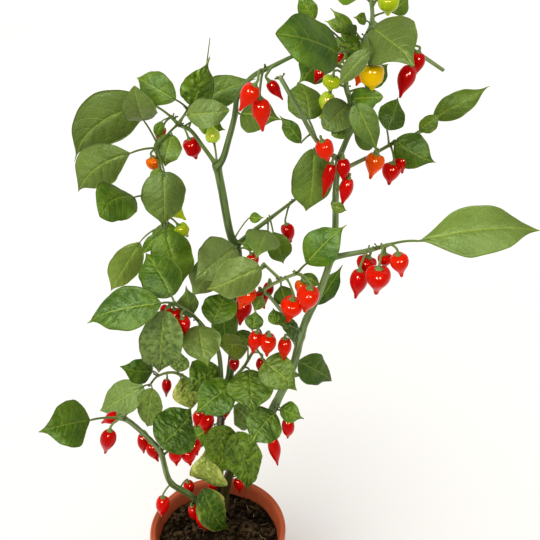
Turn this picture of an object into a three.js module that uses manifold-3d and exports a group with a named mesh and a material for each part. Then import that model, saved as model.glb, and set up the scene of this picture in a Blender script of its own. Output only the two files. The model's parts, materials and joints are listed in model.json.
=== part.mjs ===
// A potted chilli pepper plant: a brown plastic pot, the soil that fills it, three leafy stems that stand
// in the soil, and the chillies that hang from them. Millimetres, +Z up, with the origin at the centre
// of the pot's underside.

import * as THREE from "three";
import { mergeVertices } from "three/addons/utils/BufferGeometryUtils.js";
import Module from "manifold-3d";

const wasm = await Module();
wasm.setup();

const { Vector3 } = THREE;
const UP = new Vector3(0, 0, 1);

// Driving sizes, in millimetres.
const POT = {
  height: 115,
  rimRadius: 65,
  rimHeight: 15,
  rimWidth: 5.5,
  bodyRadius: 59.4,
  footRadius: 46,
  wall: 2,
  floor: 3,
  facets: 32,
  drainHoles: 6,
  drainRadius: 5,
  drainCircle: 32,
};
const SOIL = { below: 13, gap: 0.4, bumps: 2.6, sink: 2.8, edge: 6, rings: 5, facets: 26 };
const SOIL_TOP = POT.height - SOIL.below;
const HOLE = { depth: 30, clearance: 0.9, facets: 12 };
const LEAF = {
  thick: 1.5,
  petiole: 1.1,
  tipHalf: 0.4,
  arch: 0.18,
  droop: 0.16,
  wave: 0.04,
  widest: 0.36,
  slender: 1.5,
  toEye: 0.88,
  turn: THREE.MathUtils.degToRad(14),
  stalkRise: 0.12,
};
const PEDICEL = { thin: 0.8, neck: 1.3, cap: 0.27, gap: 0.35, straight: 3, rise: 0.25 };
const FRUIT_SIDES = 6;
const STEM_SIDES = 5;
const SLIVER = 0.02;

// The picture that the plant's free form is given in: places are pixels across and down in a frame of
// 540 by 540, and how far back they lie from the pot's axis, in millimetres.
const PICTURE = { middle: 270, focal: 742, lookDown: THREE.MathUtils.degToRad(30.3) };
const EYE = new Vector3(50, -492, POT.height + 574);

function seen([across, down], back) {
  const right = (across - PICTURE.middle) / PICTURE.focal;
  const up = (PICTURE.middle - down) / PICTURE.focal;
  const sin = Math.sin(PICTURE.lookDown);
  const cos = Math.cos(PICTURE.lookDown);
  const direction = new Vector3(right, cos + up * sin, up * cos - sin);
  return direction.multiplyScalar((back - EYE.y) / direction.y).add(EYE);
}

// Where each stem stands in the soil, and how thick it is there.
const FEET = {
  left: { x: -14, y: 28, wide: 6.5 },
  middle: { x: -6, y: 45, wide: 7.5 },
  right: { x: 4, y: 37, wide: 10 },
};

// Stems and branches. A route's points are [across, down, back], and wide is the width at both ends.
const BRANCHES = {
  left: {
    stem: "left",
    wide: [6.5, 3.6],
    route: [
      [195, 499, 14], [187, 493, 4], [171, 483, -10], [160, 451, -34], [151, 441, -44], [127, 420, -64],
      [120, 418, -70],
    ],
  },
  middle: {
    stem: "middle",
    wide: [7.5, 6.4],
    route: [
      [219, 485, 46], [221, 420, 47], [230, 375, 49], [234, 330, 52], [238, 252, 56], [231, 236, 56],
      [222, 190, 53], [217, 165, 50],
    ],
  },
  right: {
    stem: "right",
    wide: [10, 2.4],
    route: [
      [228, 478, 34], [243, 450, 26], [262, 430, 18], [275, 405, 10], [293, 366, 2], [305, 323, -3],
      [318, 296, -6], [331, 258, -6], [335, 235, -4], [336, 185, 0], [339, 160, 3], [347, 139, 6],
      [353, 125, 8], [350, 100, 14], [346, 85, 18], [351, 60, 24], [365, 38, 28], [372, 22, 30],
      [371, 0, 32], [367, -16, 34],
    ],
  },
  fork_left: {
    stem: "middle",
    wide: [4.6, 3.2],
    route: [[217, 166, 50], [204, 148, 62], [190, 130, 76], [178, 124, 86], [171, 116, 92]],
  },
  fork_left_twig: { stem: "middle", wide: [3, 2.4], route: [[178, 124, 86], [188, 109, 94]] },
  hanging_twig: {
    stem: "middle",
    wide: [3, 2],
    route: [
      [178, 124, 86], [168, 134, 76], [158, 148, 66], [161, 175, 56], [164, 200, 48], [166, 228, 40],
    ],
  },
  fork_right: {
    stem: "middle",
    wide: [5.4, 2.2],
    route: [
      [217, 166, 50], [222, 160, 47], [229, 138, 32], [235, 115, 16], [238, 95, 4], [253, 76, -8],
      [271, 67, -14], [289, 58, -18], [302, 52, -20],
    ],
  },
  middle_right: {
    stem: "middle",
    wide: [4.4, 2.4],
    route: [[238, 244, 56], [252, 232, 66], [268, 220, 76], [297, 198, 98]],
  },
  middle_left: {
    stem: "middle",
    wide: [4.6, 2.4],
    route: [[222, 388, 48], [218, 350, 26], [206, 330, 6], [189, 312, -12], [173, 303, -24]],
  },
  low_left: {
    stem: "middle",
    wide: [3.6, 2],
    route: [[221, 408, 47], [200, 388, 64], [176, 373, 78], [158, 376, 88], [149, 386, 94]],
  },
  low_right: {
    stem: "middle",
    wide: [3.4, 2],
    route: [[230, 382, 48], [243, 368, 26], [253, 352, 8], [264, 338, -8]],
  },
  stub: {
    stem: "right",
    wide: [5, 4.4],
    route: [[338, 160, 3], [317, 141, -12], [299, 110, -28], [280, 77, -46]],
  },
  high_right: {
    stem: "right",
    wide: [3.6, 2],
    route: [[340, 170, 2], [348, 167, 14], [372, 155, 40], [390, 145, 58], [406, 138, 68], [426, 130, 80]],
  },
  cut_end: {
    stem: "right",
    wide: [3.2, 3],
    route: [[372, 22, 30], [395, 38, 44], [418, 53, 58], [443, 70, 74]],
  },
  mid_right: {
    stem: "right",
    wide: [4.6, 2.6],
    route: [[331, 258, -6], [345, 255, -18], [366, 251, -36], [388, 245, -54]],
  },
  inner: {
    stem: "right",
    wide: [3.6, 2.2],
    route: [
      [299, 336, -2], [286, 317, -12], [270, 297, -20], [264, 291, -22], [281, 280, -26], [298, 273, -28],
    ],
  },
  inner_twig: { stem: "right", wide: [2.4, 2], route: [[281, 280, -26], [264, 264, -22]] },
};

// Leaves. The stalk leaves its branch at root, and the blade runs from base to tip. near is how far the
// base lies in front of the root, in millimetres, wide is the blade's width, and lean says whether the
// tip comes forward (1) or goes back (-1) for the length that does not show. sway bows the blade to one
// side, as a share of its length.
const LEAVES = [
  { on: "fork_left_twig", root: [188, 109], base: [176, 100], tip: [136, 76], near: 2, lean: -1, wide: 26 },
  {
    on: "fork_left", root: [174, 119], base: [153, 105], tip: [72, 163],
    near: 4, lean: 1, sway: -0.3, wide: 42,
  },
  { on: "hanging_twig", root: [158, 146], base: [144, 121], tip: [134, 87], near: -2, lean: 1, wide: 26 },
  {
    on: "hanging_twig", root: [158, 148], base: [131, 153], tip: [78, 194],
    near: 6, lean: 1, sway: -0.25, wide: 35,
  },
  { on: "hanging_twig", root: [170, 132], base: [172, 134], tip: [163, 166], near: 0, lean: 1, wide: 22 },
  { on: "fork_left", root: [172, 117], base: [162, 121], tip: [155, 139], near: 6, lean: 1, wide: 9 },
  { on: "fork_left_twig", root: [188, 109], base: [191, 106], tip: [209, 56], near: 8, lean: -1, wide: 27 },
  { on: "fork_left_twig", root: [188, 109], base: [194, 106], tip: [257, 79], near: -24, lean: -1, wide: 25 },
  { on: "fork_left", root: [180, 125], base: [186, 115], tip: [230, 112], near: 22, lean: 1, wide: 23 },
  { on: "fork_left", root: [184, 127], base: [196, 120], tip: [226, 130], near: 4, lean: -1, wide: 16 },
  { on: "fork_right", root: [236, 112], base: [240, 114], tip: [281, 121], near: 4, lean: 1, wide: 25 },
  { on: "stub", root: [312, 133], base: [301, 143], tip: [279, 116], near: 6, lean: -1, wide: 11 },
  { on: "hanging_twig", root: [159, 152], base: [164, 171], tip: [165, 229], near: 16, lean: 0.6, wide: 36 },
  { on: "hanging_twig", root: [160, 160], base: [161, 168], tip: [151, 187], near: 4, lean: -1, wide: 12 },
  { on: "hanging_twig", root: [163, 196], base: [135, 197], tip: [98, 213], near: 4, lean: 1, wide: 34 },
  { on: "hanging_twig", root: [166, 224], base: [165, 231], tip: [183, 287], near: 10, lean: 1, wide: 36 },
  { on: "middle_left", root: [175, 304], base: [172, 297], tip: [145, 252], near: -9, lean: -1, wide: 33 },
  { on: "hanging_twig", root: [166, 226], base: [157, 234], tip: [142, 255], near: 6, lean: 1, wide: 9 },
  { on: "hanging_twig", root: [166, 226], base: [140, 242], tip: [109, 292], near: -29, lean: 1, wide: 27 },
  { on: "right", root: [352, 60], base: [339, 54], tip: [277, 32], near: 50, lean: 1, wide: 35 },
  { on: "right", root: [349, 70], base: [323, 60], tip: [299, 83], near: -22, lean: 1, wide: 24 },
  { on: "right", root: [354, 55], base: [315, 20], tip: [297, -7], near: -2, lean: -1, wide: 13 },
  { on: "right", root: [357, 50], base: [347, 31], tip: [325, 20], near: 6, lean: 1, wide: 11 },
  { on: "right", root: [362, 42], base: [353, 29], tip: [330, 8], near: -2, lean: -1, wide: 10 },
  { on: "right", root: [364, 40], base: [356, 40], tip: [342, 34], near: 10, lean: 1, wide: 13 },
  { on: "right", root: [368, 32], base: [372, 27], tip: [417, 61], near: 12, lean: 1, wide: 40 },
  { on: "right", root: [366, 36], base: [369, 49], tip: [337, 88], near: 40, lean: 1, wide: 15 },
  { on: "stub", root: [317, 141], base: [309, 120], tip: [300, 80], near: -8, lean: -1, wide: 24 },
  { on: "right", root: [350, 100], base: [348, 104], tip: [324, 128], near: 3, lean: 1, wide: 25 },
  { on: "right", root: [349, 92], base: [350, 99], tip: [383, 97], near: 5, lean: 1, wide: 19 },
  { on: "right", root: [351, 106], base: [355, 103], tip: [378, 154], near: 26, lean: 1, wide: 21 },
  { on: "right", root: [353, 122], base: [350, 125], tip: [332, 135], near: 10, lean: 1, wide: 13 },
  { on: "high_right", root: [389, 145], base: [387, 130], tip: [399, 96], near: 6, lean: -1, wide: 23 },
  { on: "right", root: [348, 92], base: [366, 88], tip: [388, 62], near: -6, lean: -1, wide: 18 },
  { on: "right", root: [351, 130], base: [355, 134], tip: [375, 147], near: -6, lean: -1, wide: 15 },
  { on: "high_right", root: [425, 130], base: [433, 118], tip: [491, 87], near: 4, lean: 1, wide: 20 },
  { on: "high_right", root: [414, 135], base: [419, 131], tip: [442, 114], near: 6, lean: 1, wide: 14 },
  { on: "high_right", root: [390, 145], base: [395, 140], tip: [436, 164], near: 3, lean: 1, wide: 28 },
  { on: "right", root: [372, 18], base: [391, 12], tip: [409, -3], near: -6, lean: -1, wide: 14 },
  { on: "right", root: [337, 157], base: [314, 148], tip: [308, 213], near: 3, lean: 1, wide: 31 },
  { on: "right", root: [336, 198], base: [331, 204], tip: [347, 211], near: 10, lean: 1, wide: 8 },
  { on: "inner", root: [297, 273], base: [306, 264], tip: [346, 224], near: -8, lean: -1, wide: 28 },
  { on: "middle_right", root: [268, 220], base: [268, 230], tip: [256, 260], near: 6, lean: 1.2, wide: 30 },
  { on: "middle_right", root: [270, 219], base: [273, 232], tip: [284, 265], near: -2, lean: -1, wide: 22 },
  { on: "middle", root: [238, 243], base: [242, 243], tip: [258, 250], near: 8, lean: 1, wide: 9 },
  { on: "middle", root: [236, 240], base: [249, 218], tip: [264, 218], near: 2, lean: 1, wide: 9 },
  { on: "middle", root: [238, 247], base: [236, 247], tip: [194, 279], near: 12, lean: 1, wide: 38 },
  { on: "middle", root: [237, 262], base: [223, 259], tip: [192, 297], near: 20, lean: 1, wide: 28 },
  { on: "inner_twig", root: [264, 264], base: [261, 267], tip: [207, 292], near: 10, lean: 1, wide: 29 },
  { on: "mid_right", root: [387, 246], base: [418, 241], tip: [542, 230], near: 4, lean: 1, wide: 34 },
  { on: "right", root: [307, 318], base: [316, 305], tip: [343, 265], near: -14, lean: -1, wide: 16 },
  { on: "inner", root: [281, 280], base: [281, 286], tip: [290, 309], near: -6, lean: -1, wide: 16 },
  { on: "inner", root: [296, 274], base: [301, 276], tip: [322, 286], near: -4, lean: -1, wide: 10 },
  { on: "middle_left", root: [193, 316], base: [190, 318], tip: [186, 286], near: -2, lean: -1, wide: 17 },
  { on: "middle_left", root: [213, 340], base: [212, 324], tip: [227, 290], near: 8, lean: -1, wide: 30 },
  { on: "middle", root: [235, 318], base: [224, 307], tip: [226, 348], near: 14, lean: 1, wide: 20 },
  { on: "middle_left", root: [200, 322], base: [199, 325], tip: [206, 366], near: 14, lean: 1, wide: 32 },
  { on: "middle", root: [233, 345], base: [237, 331], tip: [251, 348], near: 8, lean: 1, wide: 18 },
  { on: "low_right", root: [248, 360], base: [248, 347], tip: [215, 345], near: 16, lean: 1, wide: 23 },
  { on: "low_right", root: [258, 345], base: [252, 330], tip: [256, 310], near: 2, lean: -1, wide: 15 },
  { on: "inner", root: [285, 317], base: [277, 325], tip: [272, 308], near: 4, lean: -1, wide: 12 },
  { on: "right", root: [301, 332], base: [299, 332], tip: [275, 323], near: 7, lean: 1, wide: 26 },
  { on: "inner", root: [266, 293], base: [262, 296], tip: [254, 312], near: 4, lean: 1, wide: 10 },
  { on: "middle_left", root: [174, 304], base: [162, 303], tip: [85, 320], near: 8, lean: 1, wide: 34 },
  { on: "middle_left", root: [175, 304], base: [165, 310], tip: [161, 375], near: 7, lean: 1, wide: 33 },
  { on: "low_left", root: [159, 376], base: [153, 371], tip: [120, 368], near: 6, lean: 1, wide: 25 },
  { on: "low_left", root: [176, 373], base: [178, 372], tip: [181, 351], near: 2, lean: -1, wide: 21 },
  { on: "middle", root: [226, 394], base: [220, 368], tip: [186, 390], near: -6, lean: 1, wide: 34 },
  { on: "low_left", root: [150, 385], base: [144, 386], tip: [99, 413], near: 8, lean: 1, wide: 34 },
  { on: "low_left", root: [151, 384], base: [152, 388], tip: [146, 428], near: 16, lean: 1, wide: 28 },
  { on: "low_left", root: [178, 374], base: [181, 378], tip: [193, 411], near: 6, lean: 1, wide: 25 },
  { on: "left", root: [160, 451], base: [160, 446], tip: [194, 409], near: 14, lean: -1, wide: 41 },
  { on: "middle", root: [221, 424], base: [207, 429], tip: [180, 448], near: 21, lean: 1, wide: 21 },
  { on: "left", root: [121, 418], base: [91, 420], tip: [39, 431], near: 6, lean: 1, wide: 34 },
  { on: "middle", root: [226, 396], base: [233, 383], tip: [194, 414], near: 30, lean: 1, wide: 36 },
  { on: "low_right", root: [243, 368], base: [249, 369], tip: [252, 415], near: 16, lean: 1, wide: 40 },
  { on: "low_right", root: [256, 348], base: [264, 361], tip: [299, 389], near: 10, lean: 1, wide: 30 },
  { on: "right", root: [293, 366], base: [298, 361], tip: [334, 381], near: -8, lean: -1, wide: 29 },
  { on: "right", root: [274, 408], base: [275, 412], tip: [249, 445], near: 14, lean: 1, wide: 34 },
  { on: "right", root: [277, 402], base: [280, 408], tip: [304, 419], near: 8, lean: 1, wide: 19 },
  { on: "middle", root: [221, 418], base: [220, 425], tip: [221, 475], near: 36, lean: 1, wide: 30 },
  { on: "right", root: [252, 440], base: [237, 432], tip: [250, 491], near: 16, lean: 1, wide: 34 },
  { on: "middle", root: [221, 440], base: [207, 444], tip: [211, 488], near: 22, lean: 1, wide: 29 },
  { on: "left", root: [200, 503], base: [203, 489], tip: [229, 531], near: 13, lean: 1, wide: 31 },
  { on: "right", root: [369, -10], base: [363, -22], tip: [334, -36], near: 4, lean: 1, wide: 22 },
  { on: "right", root: [368, -12], base: [378, -22], tip: [408, -40], near: 0, lean: -1, wide: 22 },
  { on: "right", root: [367, -16], base: [366, -26], tip: [364, -64], near: 2, lean: -1, wide: 17 },
  { on: "right", root: [371, 2], base: [360, -3], tip: [336, -14], near: -8, lean: -1, wide: 20 },
  { on: "middle", root: [226, 398], base: [234, 406], tip: [250, 424], near: -20, lean: -1, wide: 28 },
  { on: "middle", root: [221, 432], base: [213, 424], tip: [196, 434], near: -18, lean: -1, wide: 32 },
  { on: "right", root: [284, 386], base: [288, 378], tip: [285, 370], near: -18, lean: -1, wide: 30 },
  { on: "middle_left", root: [208, 333], base: [206, 336], tip: [200, 350], near: -18, lean: -1, wide: 30 },
  { on: "right", root: [352, 112], base: [357, 106], tip: [364, 118], near: -16, lean: -1, wide: 30 },
  { on: "right", root: [349, 72], base: [343, 62], tip: [316, 44], near: -16, lean: -1, wide: 32 },
  { on: "middle", root: [235, 300], base: [243, 296], tip: [249, 304], near: -16, lean: -1, wide: 28 },
  { on: "hanging_twig", root: [165, 214], base: [168, 222], tip: [172, 258], near: -14, lean: -1, wide: 28 },
  { on: "fork_left", root: [188, 129], base: [196, 112], tip: [216, 104], near: -14, lean: -0.6, wide: 24 },
];

// Chillies, by the node that they are part of; those in one node grow touching. The stalk leaves its
// branch at root and ends in a cap over the fruit's top, and near says how far in front of the root
// the fruit hangs.
const CHILLIES = {
  red_chilli_upper_left_1: [
    { on: "fork_left", root: [172, 117], top: [163, 127], tip: [157, 141], near: 0, wide: 9 },
  ],
  red_chilli_upper_left_2: [
    { on: "fork_left", root: [182, 126], top: [189, 139], tip: [197, 159], near: 10, wide: 13 },
  ],
  orange_chilli_upper_left: [
    { on: "hanging_twig", root: [158, 148], top: [152, 157], tip: [157, 172], near: 0, wide: 11 },
  ],
  green_chilli_fork: [
    { on: "middle", root: [217, 166], top: [214, 142], tip: [210, 122], near: -16, wide: 12.5 },
  ],
  red_chilli_top_1: [
    { on: "fork_right", root: [262, 72], top: [255, 85], tip: [239, 111], near: 26, wide: 13.5 },
  ],
  red_chilli_top_2: [
    { on: "fork_right", root: [264, 71], top: [260, 98], tip: [263, 132], near: 20, wide: 14 },
  ],
  red_chilli_top_3: [
    { on: "fork_right", root: [276, 64], top: [269, 81], tip: [283, 100], near: 8, wide: 10 },
  ],
  red_chilli_crown_right: [
    { on: "right", root: [351, 60], top: [338, 50], tip: [333, 67], near: 12, wide: 11 },
  ],
  red_chilli_crown_left: [
    { on: "right", root: [348, 74], top: [321, 69], tip: [315, 84], near: 6, wide: 9 },
  ],
  green_chilli_crown_round: [
    { on: "right", root: [347, 82], top: [333, 76], tip: [329, 91], near: 18, wide: 11 },
  ],
  green_chilli_crown_long: [
    { on: "right", root: [347, 88], top: [330, 92], tip: [320, 119], near: 8, wide: 9 },
  ],
  yellow_chilli: [
    { on: "right", root: [360, 46], top: [372, 64], tip: [372, 91], near: 30, wide: 17 },
  ],
  orange_chilli_crown: [
    { on: "right", root: [351, 64], top: [362, 72], tip: [356, 86], near: 4, wide: 9 },
  ],
  green_chilli_top: [
    { on: "right", root: [372, 6], top: [389, -5], tip: [387, 16], near: 10, wide: 15 },
  ],
  red_chilli_cut_end_1: [
    { on: "cut_end", root: [408, 47], top: [419, 52], tip: [414, 78], near: 2, wide: 12 },
  ],
  red_chilli_cut_end_2: [
    { on: "cut_end", root: [400, 42], top: [411, 65], tip: [399, 98], near: 14, wide: 13.5 },
  ],
  orange_chilli_high_right: [
    { on: "high_right", root: [374, 154], top: [377, 154], tip: [370, 179], near: 16, wide: 14.5 },
  ],
  red_chillies_high_right: [
    { on: "high_right", root: [390, 145], top: [393, 163], tip: [388, 185], near: 10, wide: 15 },
    { on: "high_right", root: [394, 143], top: [402, 155], tip: [402, 174], near: 8, wide: 12 },
  ],
  red_chilli_stub: [
    { on: "stub", root: [322, 146], top: [322, 141], tip: [329, 161], near: 14, wide: 13 },
  ],
  red_chilli_right_front: [
    { on: "right", root: [338, 158], top: [332, 163], tip: [323, 198], near: 13, wide: 11 },
  ],
  red_chillies_right_back: [
    { on: "right", root: [339, 162], top: [343, 158], tip: [344, 183], near: 13, wide: 10 },
    { on: "right", root: [335, 196], top: [349, 178], tip: [342, 206], near: 8, wide: 11 },
  ],
  red_chilli_middle_right: [
    { on: "middle_right", root: [290, 203], top: [286, 224], tip: [291, 243], near: 4, wide: 12.5 },
  ],
  red_chilli_middle_1: [
    { on: "middle", root: [239, 250], top: [251, 254], tip: [257, 269], near: 12, wide: 11 },
  ],
  orange_chilli_inner: [
    { on: "inner_twig", root: [266, 266], top: [249, 287], tip: [240, 309], near: 6, wide: 16 },
  ],
  red_chilli_middle_2: [
    { on: "middle", root: [235, 300], top: [244, 299], tip: [240, 325], near: 24, wide: 16 },
  ],
  red_chillies_inner: [
    { on: "inner", root: [265, 292], top: [260, 291], tip: [264, 309], near: -4, wide: 11 },
    { on: "inner", root: [272, 286], top: [269, 283], tip: [267, 301], near: -12, wide: 9 },
  ],
  red_chilli_inner_1: [
    { on: "inner", root: [286, 278], top: [293, 299], tip: [288, 322], near: 6, wide: 17.5 },
  ],
  red_chilli_inner_2: [
    { on: "inner", root: [297, 273], top: [310, 288], tip: [304, 313], near: 12, wide: 17.5 },
  ],
  orange_chilli_inner_back: [
    { on: "inner", root: [294, 275], top: [302, 281], tip: [299, 297], near: -4, wide: 10 },
  ],
  red_chillies_low_right: [
    { on: "low_right", root: [263, 339], top: [257, 332], tip: [252, 354], near: 10, wide: 12 },
    { on: "low_right", root: [264, 338], top: [269, 335], tip: [266, 357], near: 10, wide: 14 },
  ],
  red_chilli_right_low: [
    { on: "right", root: [296, 350], top: [285, 338], tip: [284, 361], near: 10, wide: 13 },
  ],
  red_chilli_middle_3: [
    { on: "middle", root: [231, 368], top: [234, 359], tip: [235, 372], near: 16, wide: 10 },
  ],
  red_chilli_low_right_back: [
    { on: "low_right", root: [252, 353], top: [262, 358], tip: [260, 375], near: -7, wide: 9.5 },
  ],
  red_chillies_mid_right: [
    { on: "mid_right", root: [372, 250], top: [369, 257], tip: [361, 275], near: -8, wide: 15 },
    { on: "mid_right", root: [368, 251], top: [360, 270], tip: [356, 299], near: 4, wide: 14 },
  ],
  red_chilli_mid_right_1: [
    { on: "mid_right", root: [384, 246], top: [379, 268], tip: [376, 295], near: 10, wide: 18.5 },
  ],
  red_chilli_mid_right_2: [
    { on: "mid_right", root: [386, 246], top: [385, 254], tip: [385, 269], near: -4, wide: 11 },
  ],
  red_chilli_mid_right_3: [
    { on: "mid_right", root: [387, 246], top: [398, 254], tip: [402, 277], near: 12, wide: 14.5 },
  ],
  green_chilli_hanging_1: [
    { on: "hanging_twig", root: [165, 216], top: [178, 225], tip: [188, 237], near: 0, wide: 12 },
  ],
  green_chilli_hanging_2: [
    { on: "hanging_twig", root: [164, 202], top: [169, 205], tip: [186, 220], near: -2, wide: 13 },
  ],
  red_chillies_middle_left: [
    { on: "middle_left", root: [178, 306], top: [168, 307], tip: [161, 318], near: 0, wide: 10 },
    { on: "middle_left", root: [180, 307], top: [174, 309], tip: [176, 328], near: -2, wide: 11 },
    { on: "middle_left", root: [184, 310], top: [182, 318], tip: [186, 336], near: 8, wide: 12 },
  ],
  red_chilli_low_left: [
    { on: "low_left", root: [167, 374], top: [167, 379], tip: [166, 397], near: 0, wide: 10 },
  ],
  red_chillies_low_middle: [
    { on: "middle", root: [222, 408], top: [207, 413], tip: [206, 435], near: 28, wide: 15 },
    { on: "middle", root: [222, 408], top: [198, 411], tip: [196, 428], near: 28, wide: 9 },
  ],
  red_chilli_low_middle: [
    { on: "middle", root: [224, 400], top: [226, 403], tip: [225, 420], near: 16, wide: 10 },
  ],
  red_chilli_left_1: [
    { on: "left", root: [161, 452], top: [175, 447], tip: [177, 466], near: 4, wide: 12 },
  ],
  red_chillies_left: [
    { on: "left", root: [162, 456], top: [187, 448], tip: [191, 466], near: 0, wide: 14 },
    { on: "left", root: [162, 456], top: [193, 441], tip: [198, 455], near: -6, wide: 12 },
  ],
  red_chilli_right_foot_1: [
    { on: "right", root: [266, 422], top: [272, 437], tip: [278, 466], near: 10, wide: 12.5 },
  ],
  red_chilli_right_foot_2: [
    { on: "right", root: [272, 411], top: [288, 418], tip: [288, 439], near: 12, wide: 12 },
  ],
  red_chilli_left_end_1: [
    { on: "left", root: [121, 418], top: [110, 430], tip: [105, 454], near: 6, wide: 13 },
  ],
  red_chilli_left_end_2: [
    { on: "left", root: [126, 420], top: [118, 415], tip: [101, 423], near: -10, wide: 10 },
  ],
  red_chillies_left_back: [
    { on: "left", root: [150, 440], top: [142, 434], tip: [144, 454], near: -26, wide: 10 },
    { on: "left", root: [156, 446], top: [150, 442], tip: [158, 462], near: -16, wide: 12 },
  ],
  red_chilli_left_foot_1: [
    { on: "left", root: [172, 484], top: [163, 497], tip: [162, 517], near: 8, wide: 14 },
  ],
  red_chilli_left_foot_2: [
    { on: "left", root: [180, 489], top: [188, 482], tip: [191, 495], near: -18, wide: 11 },
  ],
  red_chilli_middle_foot: [
    { on: "middle", root: [219, 474], top: [213, 480], tip: [213, 494], near: 10, wide: 9.5 },
  ],
  red_chilli_right_foot_3: [
    { on: "right", root: [226, 482], top: [238, 478], tip: [240, 493], near: 0, wide: 10.5 },
  ],
  red_chillies_soil: [
    { on: "left", root: [199, 503], top: [192, 506], tip: [198, 522], near: 14, wide: 12 },
    { on: "left", root: [199, 503], top: [199, 515], tip: [207, 531], near: 22, wide: 11 },
  ],
};
const FRUITS = Object.entries(CHILLIES).flatMap(([node, bunch]) =>
  bunch.map((fruit) => ({ node, ...fruit })),
);

const FINISH = {
  pot: { color: 0xb0522f, roughness: 0.55 },
  soil: { color: 0x2b211b, roughness: 0.95 },
  leaf: { color: 0x3f7a34, roughness: 0.5 },
  red: { color: 0xc8140f, roughness: 0.12 },
  orange: { color: 0xf0690c, roughness: 0.12 },
  yellow: { color: 0xf2b60c, roughness: 0.12 },
  green: { color: 0x9dbb1f, roughness: 0.18 },
};

// Solids for joining and cutting.
function solid(geometry) {
  const plain = geometry.index ? geometry : mergeVertices(geometry);
  plain.deleteAttribute("normal");
  plain.deleteAttribute("uv");
  const merged = mergeVertices(plain, 1e-5);
  return new wasm.Manifold(
    new wasm.Mesh({
      numProp: 3,
      vertProperties: new Float32Array(merged.attributes.position.array),
      triVerts: new Uint32Array(merged.index.array),
    }),
  );
}

function geometryOf(manifold) {
  const mesh = manifold.getMesh();
  const geometry = new THREE.BufferGeometry();
  geometry.setAttribute("position", new THREE.BufferAttribute(mesh.vertProperties, 3));
  geometry.setIndex(new THREE.BufferAttribute(mesh.triVerts, 1));
  return geometry;
}

function joined(solids) {
  return solids.reduce((whole, next) => whole.add(next));
}

function named(name, manifold, finish) {
  const material = new THREE.MeshStandardMaterial({ ...finish, metalness: 0 });
  const mesh = new THREE.Mesh(geometryOf(manifold), material);
  mesh.name = name;
  return mesh;
}

// A closed skin over rings of points, each ring going anticlockwise round the way forward. On a blade the
// second half of each ring is its underside, and both faces are split into triangles alike.
function skin(rings, blade = false) {
  const around = rings[0].length;
  const last = (rings.length - 1) * around;
  const faces = [];
  for (let ring = 0; ring < rings.length - 1; ring += 1) {
    for (let j = 0; j < around; j += 1) {
      const a = ring * around + j;
      const b = ring * around + ((j + 1) % around);
      if (blade && j >= around / 2) {
        faces.push(a, b, a + around, b, b + around, a + around);
      } else {
        faces.push(a, b, b + around, a, b + around, a + around);
      }
    }
  }
  for (let j = 1; j < around - 1; j += 1) {
    faces.push(0, j + 1, j, last, last + j, last + j + 1);
  }
  const geometry = new THREE.BufferGeometry();
  const places = rings.flat().flatMap((p) => [p.x, p.y, p.z]);
  geometry.setAttribute("position", new THREE.Float32BufferAttribute(places, 3));
  geometry.setIndex(faces);
  return geometry;
}

// The directions across and out at each point of a path, turned as little as possible along it and
// worked out both ways from the point whose outward direction is given.
function frames(points, start, outward) {
  const forward = points.map((p, i) => {
    const before = points[Math.max(i - 1, 0)];
    const after = points[Math.min(i + 1, points.length - 1)];
    return after.clone().sub(before).normalize();
  });
  const out = [];
  const square = (v, t) => v.clone().addScaledVector(t, -v.dot(t)).normalize();
  out[start] = square(outward, forward[start]);
  for (let i = start + 1; i < points.length; i += 1) {
    out[i] = square(out[i - 1], forward[i]);
  }
  for (let i = start - 1; i >= 0; i -= 1) {
    out[i] = square(out[i + 1], forward[i]);
  }
  return out.map((n, i) => ({ out: n, side: n.clone().cross(forward[i]) }));
}

// A round rod along points, with a radius at each.
function rod(points, radii, sides) {
  const upright = Math.abs(points[1].clone().sub(points[0]).normalize().z) > 0.8;
  const turned = frames(points, 0, upright ? new Vector3(0, -1, 0) : UP);
  const rings = points.map((p, i) =>
    Array.from({ length: sides }, (_, j) => {
      const angle = (2 * Math.PI * j) / sides;
      return p
        .clone()
        .addScaledVector(turned[i].side, radii[i] * Math.cos(angle))
        .addScaledVector(turned[i].out, radii[i] * Math.sin(angle));
    }),
  );
  return solid(skin(rings));
}

// Stems. A main stem goes straight down into its hole in the soil.
function branchCurve(name) {
  const branch = BRANCHES[name];
  const places = branch.route.map(([across, down, back]) => seen([across, down], back));
  const foot = FEET[name];
  if (foot) {
    places.unshift(new Vector3(foot.x, foot.y, SOIL_TOP + 4));
    places.unshift(new Vector3(foot.x, foot.y, SOIL_TOP - 4));
    places.unshift(new Vector3(foot.x, foot.y, SOIL_TOP - HOLE.depth));
  }
  return new THREE.CatmullRomCurve3(places, false, "centripetal");
}

const CURVES = Object.fromEntries(Object.keys(BRANCHES).map((name) => [name, branchCurve(name)]));
const CURVE_STEPS = 200;

function branchSolid(name) {
  const { wide } = BRANCHES[name];
  const places = CURVES[name].points;
  const radii = places.map((_, i) => THREE.MathUtils.lerp(wide[0], wide[1], i / (places.length - 1)) / 2);
  return rod(places, radii, STEM_SIDES);
}

// The point of a branch that shows nearest to a place in the picture.
function onBranch(name, [across, down]) {
  let best = null;
  let least = Infinity;
  for (const p of CURVES[name].getPoints(CURVE_STEPS)) {
    const off = seen([across, down], p.y).distanceTo(p);
    if (off < least) {
      least = off;
      best = p;
    }
  }
  return best.clone();
}

// Leaves. Where along the blade it is cut into rings, for blades narrower than each width. Only a wide
// leaf has an arched stalk.
const WIDE_LEAF = 27;
const STATIONS = [
  { below: 15.5, along: [0.03, 0.3, 0.7, 1] },
  { below: WIDE_LEAF, along: [0.02, 0.14, 0.36, 0.64, 0.87, 1] },
  { below: Infinity, along: [0.02, 0.11, 0.28, 0.5, 0.74, 0.9, 1] },
];

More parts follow.
